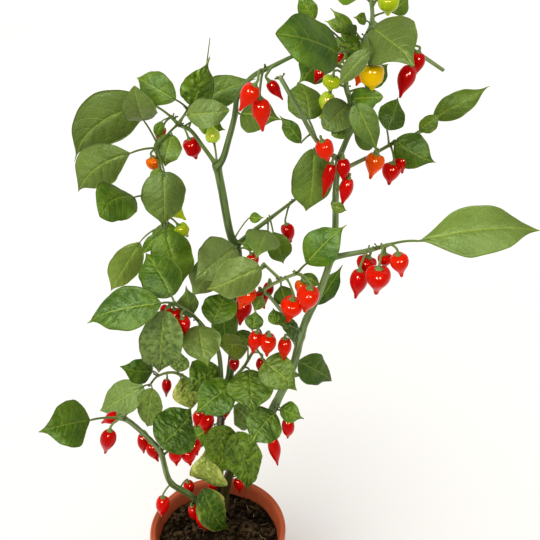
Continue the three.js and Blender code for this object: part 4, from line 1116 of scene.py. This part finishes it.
def fruit_material(kind):
    top, body, tip, blush, pale, deep = (rgb(*color) for color in FRUIT_COLORS[kind])
    p = Paint(f"chilli_{kind}")
    h, c, s = p.values("place")
    seed, ripe = p.values("look")[:2]
    soft = p.noise(2.2, 2.0, p.joined(p.line(seed, 31.0, c), s, p.times(h, 1.6)))
    base = p.mix(p.ramp(p.line(soft, 0.3, h), 0.12, 0.42), top, body)
    base = p.over(base, tip, p.ramp(h, 0.72, 1.0))
    base = p.over(base, blush, p.ramp(soft, 0.52, 0.78), BLUSHES[kind])
    base = p.over(base, deep, ripe)
    base = p.over(base, pale, ripe, -1.0)
    p.bump(p.plus(p.times(soft, 1.5), p.times(p.noise(900.0, 2.0), 0.06)), 0.12, 0.5)
    gloss = p.line(soft, 0.06, 0.12)
    return p.finish(base, gloss, Specular_IOR_Level=0.2, Specular_Tint=(1.0, 0.2, 0.15, 1))


def pot_material():
    p = Paint("pot_plastic")
    z = p.split(p.objects())[2]
    inside = p.values("place")[2]
    clouds = p.noise(28.0, 4.0)
    base = p.mix(p.ramp(clouds, 0.3, 0.7), rgb(174, 82, 48), rgb(198, 100, 64))
    # The inner wall is painted lighter and more orange, a painted light against the shade inside the pot.
    base = p.over(base, rgb(224, 98, 52), inside, 0.8)
    base = p.over(base, rgb(50, 34, 26), p.times(p.ramp(p.noise(300.0), 0.64, 0.7), inside), 0.75)
    low_down = p.ramp(p.plus(z, p.times(clouds, 0.012)), 0.104, 0.113, 1.0, 0.0)
    base = p.over(base, rgb(70, 40, 26), p.times(low_down, inside), 0.4)
    p.bump(p.plus(p.times(p.noise(1500.0, 2.0), 0.5), p.times(clouds, 0.8)), 0.2, 0.25)
    return p.finish(base, p.line(clouds, 0.2, 0.4), Specular_IOR_Level=0.15)


def soil_material():
    p = Paint("soil_dark")
    bark = p.values("look")[1]
    coarse = p.noise(230.0, 7.0, roughness=0.65)
    fine = p.noise(1300.0, 4.0)
    base = p.mix(p.ramp(coarse, 0.42, 0.64), rgb(2, 1, 1), rgb(70, 54, 34))
    base = p.over(base, rgb(152, 128, 92), p.ramp(fine, 0.58, 0.72), 0.8)
    base = p.over(base, rgb(4, 2, 1), p.ramp(p.noise(85.0), 0.42, 0.55, 1.0, 0.0), 0.8)
    base = p.over(base, p.mix(fine, rgb(54, 40, 26), rgb(112, 92, 64)), bark)
    base = p.over(base, rgb(108, 92, 70), p.ramp(p.cells(190.0), 0.0, 0.1, 1.0, 0.0), 0.5)
    p.bump(p.plus(coarse, p.times(fine, 0.8)), 0.8, 1.2)
    return p.finish(base, p.line(fine, 0.3, 0.6), Specular_IOR_Level=0.05)


def straw_material():
    p = Paint("dry_straw")
    along, c, s = p.values("place")
    streak = p.noise(1.0, vector=p.joined(p.times(c, 2.0), s, p.times(along, 0.3)))
    p.bump(streak, 0.4, 0.2)
    return p.finish(p.mix(streak, rgb(158, 140, 98), rgb(112, 88, 54)), 0.75)


def floor_material():
    p = Paint("pale_floor")
    return p.finish(p.mix(p.noise(1.4, 2.0), rgb(246, 245, 242), rgb(250, 249, 247)), 0.75)


# Pot: a tapered shell under a deep stepped rim, with drain holes in its floor.
POT_OUTLINE = [
    # radius, height, how much it is part of the inside
    (43.5, 0.0, 0), (45.4, 0.15, 0), (46.0, 0.9, 0), (46.3, 3.5, 0), (59.2, 97.2, 0), (59.5, 98.2, 0),
    (60.6, 98.9, 0), (63.4, 99.6, 0), (64.0, 100.0, 0), (64.25, 100.8, 0), (64.9, 111.5, 0),
    (65.0, 113.0, 0), (64.8, 114.0, 0), (64.3, 114.6, 0), (63.5, 114.85, 0), (62.8, 114.8, 0.1),
    (62.4, 114.35, 0.15), (62.1, 113.95, 0.2), (61.4, 113.8, 0.2), (60.9, 113.8, 0.2),
    (60.5, 113.6, 0.3), (60.2, 113.0, 0.4), (60.0, 112.4, 0.5), (59.7, 112.0, 0.6), (59.3, 111.0, 0.8),
    (59.0, 109.0, 1), (58.6, 104.0, 1), (57.4, 97.5, 1), (44.6, 6.0, 1), (44.0, 3.6, 1), (43.0, 3.0, 1),
]
POT_SIDES = 144
DRAIN_HOLES, DRAIN_RADIUS, DRAIN_CIRCLE, DRAIN_SIDES = 6, 5.0, 32.0, 28


def build_pot(material):
    """The shell, with the drain holes cut out of its floor."""
    shape = Shape()
    verts = [(r * math.cos(a), r * math.sin(a), z) for r, z, _ in POT_OUTLINE for a in circle(POT_SIDES)]
    place = [(a, z, inside) for _, z, inside in POT_OUTLINE for a in circle(POT_SIDES)]
    verts += [(0, 0, 0), (0, 0, FLOOR)]
    place += [(0, 0, 0), (0, FLOOR, 1)]
    shape.add(verts, ended_faces(len(POT_OUTLINE), POT_SIDES), place=place)
    pot = shape.piece("pot_shell", [material], "pot", "pot")
    drills = Shape()
    for a in circle(DRAIN_HOLES):
        x, y = DRAIN_CIRCLE * math.cos(a), DRAIN_CIRCLE * math.sin(a)
        tube(drills, [(x, y, -4), (x, y, 8)], [DRAIN_RADIUS] * 2, DRAIN_SIDES)
    drill = drills.piece("drill", [material], "pot")
    cut = pot.modifiers.new("drain", "BOOLEAN")
    cut.object, cut.operation, cut.solver = drill, "DIFFERENCE", "EXACT"
    done = bpy.data.meshes.new_from_object(pot.evaluated_get(bpy.context.evaluated_depsgraph_get()))
    pot.modifiers.clear()
    pot.data = done
    bpy.data.objects.remove(drill)


# Soil: a lumpy bed with lumps of peat, bits of bark and straw on it.
SOIL_RINGS, SOIL_SIDES = 64, 168
CRUMBS, CLODS = 760, 11
BARK_SHARE = 0.2
# How finely a crumb that is smaller than each size is made, and a clod.
CRUMB_LEVELS = ((1.1, 1), (2.2, 2), (math.inf, 3))
CLOD_LEVEL = 4
STRAWS, STRAW_POINTS = 26, 9


def wall_at(z):
    """How far out the soil reaches at a height in the pot."""
    slope = (STEP_RADIUS - 1.6 - FOOT_RADIUS) / (POT_HEIGHT - RIM_HEIGHT - 2)
    return FOOT_RADIUS - WALL + slope * z - 0.5


SOIL_REACH = wall_at(97)


def soil_height(x, y):
    """How high the bed's lumps and crumbs stand at a place."""
    spot = Vector((x, y, 0))
    lump = 2.0 * noise.noise(spot * 0.075) + 1.4 * noise.noise(spot * 0.19 + Vector((0, 0, 5)))
    crumbly = 2.2 * abs(noise.noise(spot * 0.33 + Vector((0, 0, 9)))) + 0.6 * noise.noise(spot * 0.9)
    return SOIL_TOP - 3.4 + lump + crumbly


def build_soil_bed(material):
    bed = Shape()
    bottom = FLOOR + SOIL_GAP
    foot = wall_at(FLOOR + 0.5) - 1
    verts = []
    for r in SOIL_REACH * (np.arange(SOIL_RINGS) + 1) / SOIL_RINGS:
        spots = [(r * math.cos(a), r * math.sin(a)) for a in circle(SOIL_SIDES)]
        verts += [(x, y, soil_height(x, y)) for x, y in spots]
    verts += [(foot * math.cos(a), foot * math.sin(a), bottom) for a in circle(SOIL_SIDES)]
    verts += [(0, 0, soil_height(0, 0)), (0, 0, bottom)]
    bed.add(verts, [tuple(reversed(f)) for f in ended_faces(SOIL_RINGS + 1, SOIL_SIDES)])
    bed.piece("soil_bed", [material], "soil", "soil")


def ball(level):
    """A round mesh with a radius of one."""
    made = bmesh.new()
    bmesh.ops.create_icosphere(made, subdivisions=level, radius=1.0)
    verts = np.array([v.co[:] for v in made.verts])
    faces = [tuple(v.index for v in f.verts) for f in made.faces]
    made.free()
    return verts, faces


def lumpy(points, scale, shift):
    """Noise of a scale at each point."""
    return np.array([noise.noise(Vector(p) * scale + shift) for p in points])


def build_crumbs(material):
    """Crumbs of peat, with a few big clods first, and bits of bark among them."""
    crumbs = Shape()
    draw = random.Random(77)
    balls = {level: ball(level) for level in (1, 2, 3, CLOD_LEVEL)}
    for k in range(CRUMBS):
        clod = k < CLODS
        a = draw.uniform(0, TURN)
        r = (SOIL_REACH - (8 if clod else 2.5)) * math.sqrt(draw.random())
        x, y = r * math.cos(a), r * math.sin(a)
        size = draw.uniform(4.5, 7.0) if clod else 0.6 + 3.2 * draw.random() ** 3
        level = CLOD_LEVEL if clod else next(level for limit, level in CRUMB_LEVELS if size < limit)
        points, faces = balls[level]
        bark = not clod and draw.random() < BARK_SHARE
        stretch = np.array([draw.uniform(0.8, 1.4), draw.uniform(0.6, 1.1), draw.uniform(0.45, 0.85)])
        if bark:
            stretch *= np.array([1.6, 0.7, 0.5])
        shift = Vector((k, 0, 0))
        rough = lumpy(points, 1.3, shift) * 0.45 + lumpy(points, 3.4, shift) * 0.3
        if clod:
            rough += np.abs(lumpy(points, 7.0, shift)) * 0.3
        points = points * (1 + rough)[:, None] * stretch * size
        lean = Vector((draw.uniform(-0.5, 0.5), draw.uniform(-0.5, 0.5), 1))
        lean = Vector((0, 0, 1)).rotation_difference(lean).to_matrix()
        points = points @ np.array(lean @ Matrix.Rotation(draw.uniform(0, 6.28), 3, "Z")).T
        z = soil_height(x, y) + size * stretch[2] * (-0.15 if clod else 0.2)
        over = np.hypot(points[:, 0] + x, points[:, 1] + y) > SOIL_REACH + 1.0
        points = points + np.array([x, y, z])
        points[over, 2] -= 1.5
        look = (draw.random(), 0.55 if bark else draw.uniform(0, 0.12), draw.random())
        crumbs.add(points, faces, look=look)
    crumbs.piece("soil_crumbs", [material], "soil", "soil")


def build_straw(material):
    straw = Shape()
    draw = random.Random(5)
    middle = (STRAW_POINTS - 1) / 2
    for k in range(STRAWS):
        a, r = draw.uniform(0, TURN), 50 * math.sqrt(draw.random())
        x, y = r * math.cos(a), r * math.sin(a)
        heading, bend = draw.uniform(0, 6.28), draw.uniform(-0.16, 0.16)
        long = draw.uniform(2.5, 9)
        path = []
        for i in range(STRAW_POINTS):
            far = long * (i - middle) / (2 * middle)
            turn = heading + bend * far
            px, py = x + far * math.cos(turn), y + far * math.sin(turn)
            path.append((px, py, soil_height(px, py) + 1.0 + 0.5 * math.sin(i + k)))
        width = draw.uniform(0.18, 0.45)
        radii = [width * (0.6 + 0.4 * math.sin(math.pi * i / (2 * middle))) for i in range(STRAW_POINTS)]
        tube(straw, path, radii, 6)
    straw.piece("soil_straw", [material], "soil", "soil")


# Stems: ridged, and swollen where leaves and branches leave them.

# The branches that end in a cut.
CAPPED = ("stub", "cut_end")
# How much a branch swells where a leaf, a chilli or a branch leaves it.
LEAF_KNOT, FRUIT_KNOT, BRANCH_KNOT = 0.06, 0.05, 0.14
# The width below which a branch is a twig.
THIN_BRANCH = 4
STEM_STEP = 1.6
TWIG_SIDES, STEM_SIDES, STUB_SIDES = 12, 18, 8

# How pale each stem is and between what heights it becomes so, partly its own paler green and partly
# painted light higher up that leaves the shaded foot darker, and how woody its foot is and where that ends.
STEM_LOOKS = {
    "left": (0.3, (60.0, 100.0), 0.0, (60.0, 100.0)),
    "middle": (0.1, (110.0, 260.0), 1.0, (205.0, 275.0)),
    "right": (0.48, (110.0, 260.0), 0.7, (150.0, 215.0)),
}

# Branches that are thinner here than their solid.
THINNER = {"stub": 0.64, "hanging_twig": 0.6, "fork_left": 0.8, "fork_left_twig": 0.65}


def add_stubs(stalks, on, place, count):
    """Short bent ends of old fruit stalks, round one place on a branch."""
    spot = on_branch(on, place)
    draw = random.Random(f"{on} {place}")
    for _ in range(count):
        start = spot + np.array([draw.uniform(-1.6, 1.6), 0, draw.uniform(-1, 1)])
        lean = unit(np.array([draw.uniform(-1, 1), draw.uniform(-1, 0.2), draw.uniform(0, 1.1)]))
        long = draw.uniform(2.6, 5.0)
        bend = unit(lean + UP * draw.uniform(-0.3, 0.9))
        far = np.linspace(0, 1, 9)
        path = quadratic(start, start + lean * 0.6 * long, start + (lean * 0.6 + bend * 0.5) * long, far)
        radii = 0.42 + 0.4 * np.exp(-far * 6) + 0.3 * bell(far, 0.93, 0.12)
        look = (draw.uniform(-0.7, 0.1), 0.7, draw.random())
        tube(stalks, path, radii, STUB_SIDES, look=look, ridges=0.06)


def add_withered_shoot(stalks):
    """The thin dried shoot that stands up behind the crumpled leaf at the upper left."""
    root = on_branch("fork_left_twig", (188, 109))
    back = root[1] - 6
    rest = [seen(place, back) for place in ((199, 88), (206, 68), (208, 54), (210, 38))]
    path, along = evened(curve_points(np.vstack([root, rest]), 40), 1.2)
    far = along / along[-1]
    radii = 0.95 - 0.65 * far + 0.35 * bell(far, 0.62, 0.06)
    tube(stalks, path, radii, STUB_SIDES, look=(-0.45, 0.3, 0.4), ridges=0.12)


def find_knots():
    """Where each branch swells, and how much: at its leaves, its chillies and its side branches."""
    knots = {name: [] for name in BRANCHES}
    for branch, root, *_ in LEAVES[:-YOUNG_LEAVES]:
        knots[branch].append((on_branch(branch, root), LEAF_KNOT))
    for _, branch, root, *_ in FRUITS:
        knots[branch].append((on_branch(branch, root), FRUIT_KNOT))
    for name in BRANCHES:
        for other in BRANCHES:
            gap = np.linalg.norm(CURVES[other] - CURVES[name][0], axis=1)
            if name not in FEET and other != name and gap.min() < 4:
                knots[other].append((CURVES[other][int(np.argmin(gap))], BRANCH_KNOT))
    return knots


def branch_form(name, knots):
    """A branch's points and how thick it is at each."""
    wide = BRANCHES[name][1]
    path, along = evened(CURVES[name], STEM_STEP)
    radii = (wide[0] + (wide[1] - wide[0]) * along / along[-1]) / 2 * THINNER.get(name, 1)
    swell = np.zeros(len(path))
    for spot, much in knots:
        gap = np.linalg.norm(path - spot, axis=1)
        swell = np.maximum(swell, 1.6 * much * bell(gap, 0, 4.2))
    radii = radii * (1 + swell)
    if name not in FEET:
        radii = radii * (1 + 0.35 * np.exp(-along / 3.0))
    radii = radii * (1 + 0.025 * lumpy(path, 0.09, Vector()))
    if name not in CAPPED:
        path = np.vstack([path, path[-1] + unit(path[-1] - path[-2]) * radii[-1] * 0.5])
        radii = np.append(radii, radii[-1] * 0.45)
    return path, radii


def build_stems(materials):
    """One piece for each main stem, with all of its branches."""
    knots = find_knots()
    for stem in FEET:
        shape = Shape()
        pale, pale_from, woody, wood_ends = STEM_LOOKS[stem]
        for name, (part_of, wide, _) in BRANCHES.items():
            if part_of != stem:
                continue
            path, radii = branch_form(name, knots[name])
            thin = wide[0] < THIN_BRANCH
            wood = woody if name in FEET else 0.0
            look = np.empty((len(path), 3))
            # Paler higher up, partly the stem's own colour and partly painted light; browner at a woody foot.
            look[:, 0] = pale * smooth(*pale_from, path[:, 2]) - wood * (1 - smooth(*wood_ends, path[:, 2]))
            look[:, 1] = 0.42 if thin else 0.08
            look[:, 2] = random.Random(name).random()
            tube(shape, path, radii, TWIG_SIDES if thin else STEM_SIDES, look=look, ridges=0.045)
            if name in CAPPED:
                shape.slots[-1] = 1
        shape.piece(f"stems_{stem}", materials, "leaf", f"leafy_stem_{stem}")


def build_leaves(top, under, stalk):
    """For each main stem, one piece with its blades and one with all its stalks."""
    for part in FEET:
        blades, stalks = Shape(), Shape()
        for index, row in enumerate(LEAVES):
            if BRANCHES[row[0]][0] == part:
                add_leaf(blades, stalks, index, row)
        for index, row in enumerate(FRUITS):
            if BRANCHES[row[1]][0] == part:
                add_pedicel(stalks, index, row)
        for on, place, count in STUBS:
            if BRANCHES[on][0] == part:
                add_stubs(stalks, on, place, count)
        LEAFY.objects.link(blades.piece(f"blades_{part}", [top, under], "leaf", f"leafy_stem_{part}"))
        if part == "middle":
            add_withered_shoot(stalks)
        stalks.piece(f"stalks_{part}", [stalk], "leaf", f"leafy_stem_{part}")


def build_fruits():
    """One piece for each node of chillies."""
    paints = {kind: fruit_material(kind) for kind in FRUIT_COLORS}
    for node in dict.fromkeys(row[0] for row in FRUITS):
        shape = Shape()
        for index, row in enumerate(FRUITS):
            if row[0] == node:
                add_fruit(shape, index, row)
        kind = node.split("_")[0]
        GLOSSY.objects.link(shape.piece(f"{node}_skin", [paints[kind]], f"chilli_{kind}", node))


# The pieces that the windows light, and those that the sheens and the key lights do.
GLOSSY = bpy.data.collections.new("glossy_skins")
LEAFY = bpy.data.collections.new("glossy_blades")

soil = soil_material()
stem_green = stem_material()
build_pot(pot_material())
build_soil_bed(soil)
build_crumbs(soil)
build_straw(straw_material())
build_stems([stem_green, cut_material()])
build_leaves(leaf_material("leaf_top"), leaf_material("leaf_under"), stem_green)
build_fruits()


# Floor, lights and camera.
PALE = (1.0, 0.99, 0.97)
COOL = (1.0, 1.0, 0.98)
GREENISH = (1.0, 1.0, 0.96)
MIDST = (0.05, 0.02, 0.35)


def aim(thing, target):
    thing.rotation_euler = (Vector(target) - thing.location).to_track_quat("-Z", "Y").to_euler()


def area_light(name, place, target, size, power, color, only, glint_only=True):
    """A light for some pieces only. It shows in them as a glint, and lights them too unless glint_only."""
    lamp = bpy.data.lights.new(name, "AREA")
    lamp.shape = "RECTANGLE"
    lamp.size, lamp.size_y = size
    lamp.energy = power
    lamp.color = color
    thing = bpy.data.objects.new(name, lamp)
    thing.location = place
    bpy.context.scene.collection.objects.link(thing)
    thing.visible_diffuse = not glint_only
    thing.light_linking.receiver_collection = only
    aim(thing, target)


bpy.ops.mesh.primitive_plane_add(size=14, location=(0, 3, 0))
floor = bpy.context.object
floor.name = "floor"
floor.data.materials.append(floor_material())

world = bpy.data.worlds.new("studio")
bpy.context.scene.world = world
world.use_nodes = True
background = world.node_tree.nodes["Background"]
background.inputs["Color"].default_value = (*PALE, 1)
background.inputs["Strength"].default_value = 0.72

bpy.context.scene.view_settings.view_transform = "Standard"

area_light("window_left", (-0.5, -1.4, 1.1), MIDST, (0.3, 0.44), 290, PALE, GLOSSY)
area_light("window_right", (0.5, -1.45, 1.1), MIDST, (0.42, 0.33), 280, PALE, GLOSSY)
area_light("sheen_left", (-0.6, -1.2, 1.5), MIDST, (0.6, 0.6), 42, COOL, LEAFY)
area_light("sheen_right", (0.55, -1.3, 1.35), MIDST, (0.5, 0.5), 26, COOL, LEAFY)
area_light("key", (-0.9, -0.75, 1.15), MIDST, (0.3, 0.3), 10.5, GREENISH, LEAFY, glint_only=False)
area_light("key_low", (-1.0, -0.85, 0.4), (0, 0, 0.16), (0.3, 0.3), 4.0, GREENISH, LEAFY, glint_only=False)
sky = bpy.data.lights.new("daylight", "SUN")
sky.energy, sky.angle, sky.color = 1.7, 0.9, (1.0, 0.98, 0.95)
day = bpy.data.objects.new("daylight", sky)
day.location = (-0.7, -0.7, 2.0)
day.visible_glossy = False
bpy.context.scene.collection.objects.link(day)
aim(day, MIDST)

lens = bpy.data.cameras.new("camera")
lens.sensor_fit = "HORIZONTAL"
lens.sensor_width = 36.0
lens.lens = lens.sensor_width * FOCAL / FRAME_SIDE
camera = bpy.data.objects.new("camera", lens)
camera.location = EYE * MM
camera.rotation_euler = (math.radians(90) - LOOK_DOWN, 0, 0)
bpy.context.scene.collection.objects.link(camera)
bpy.context.scene.camera = camera
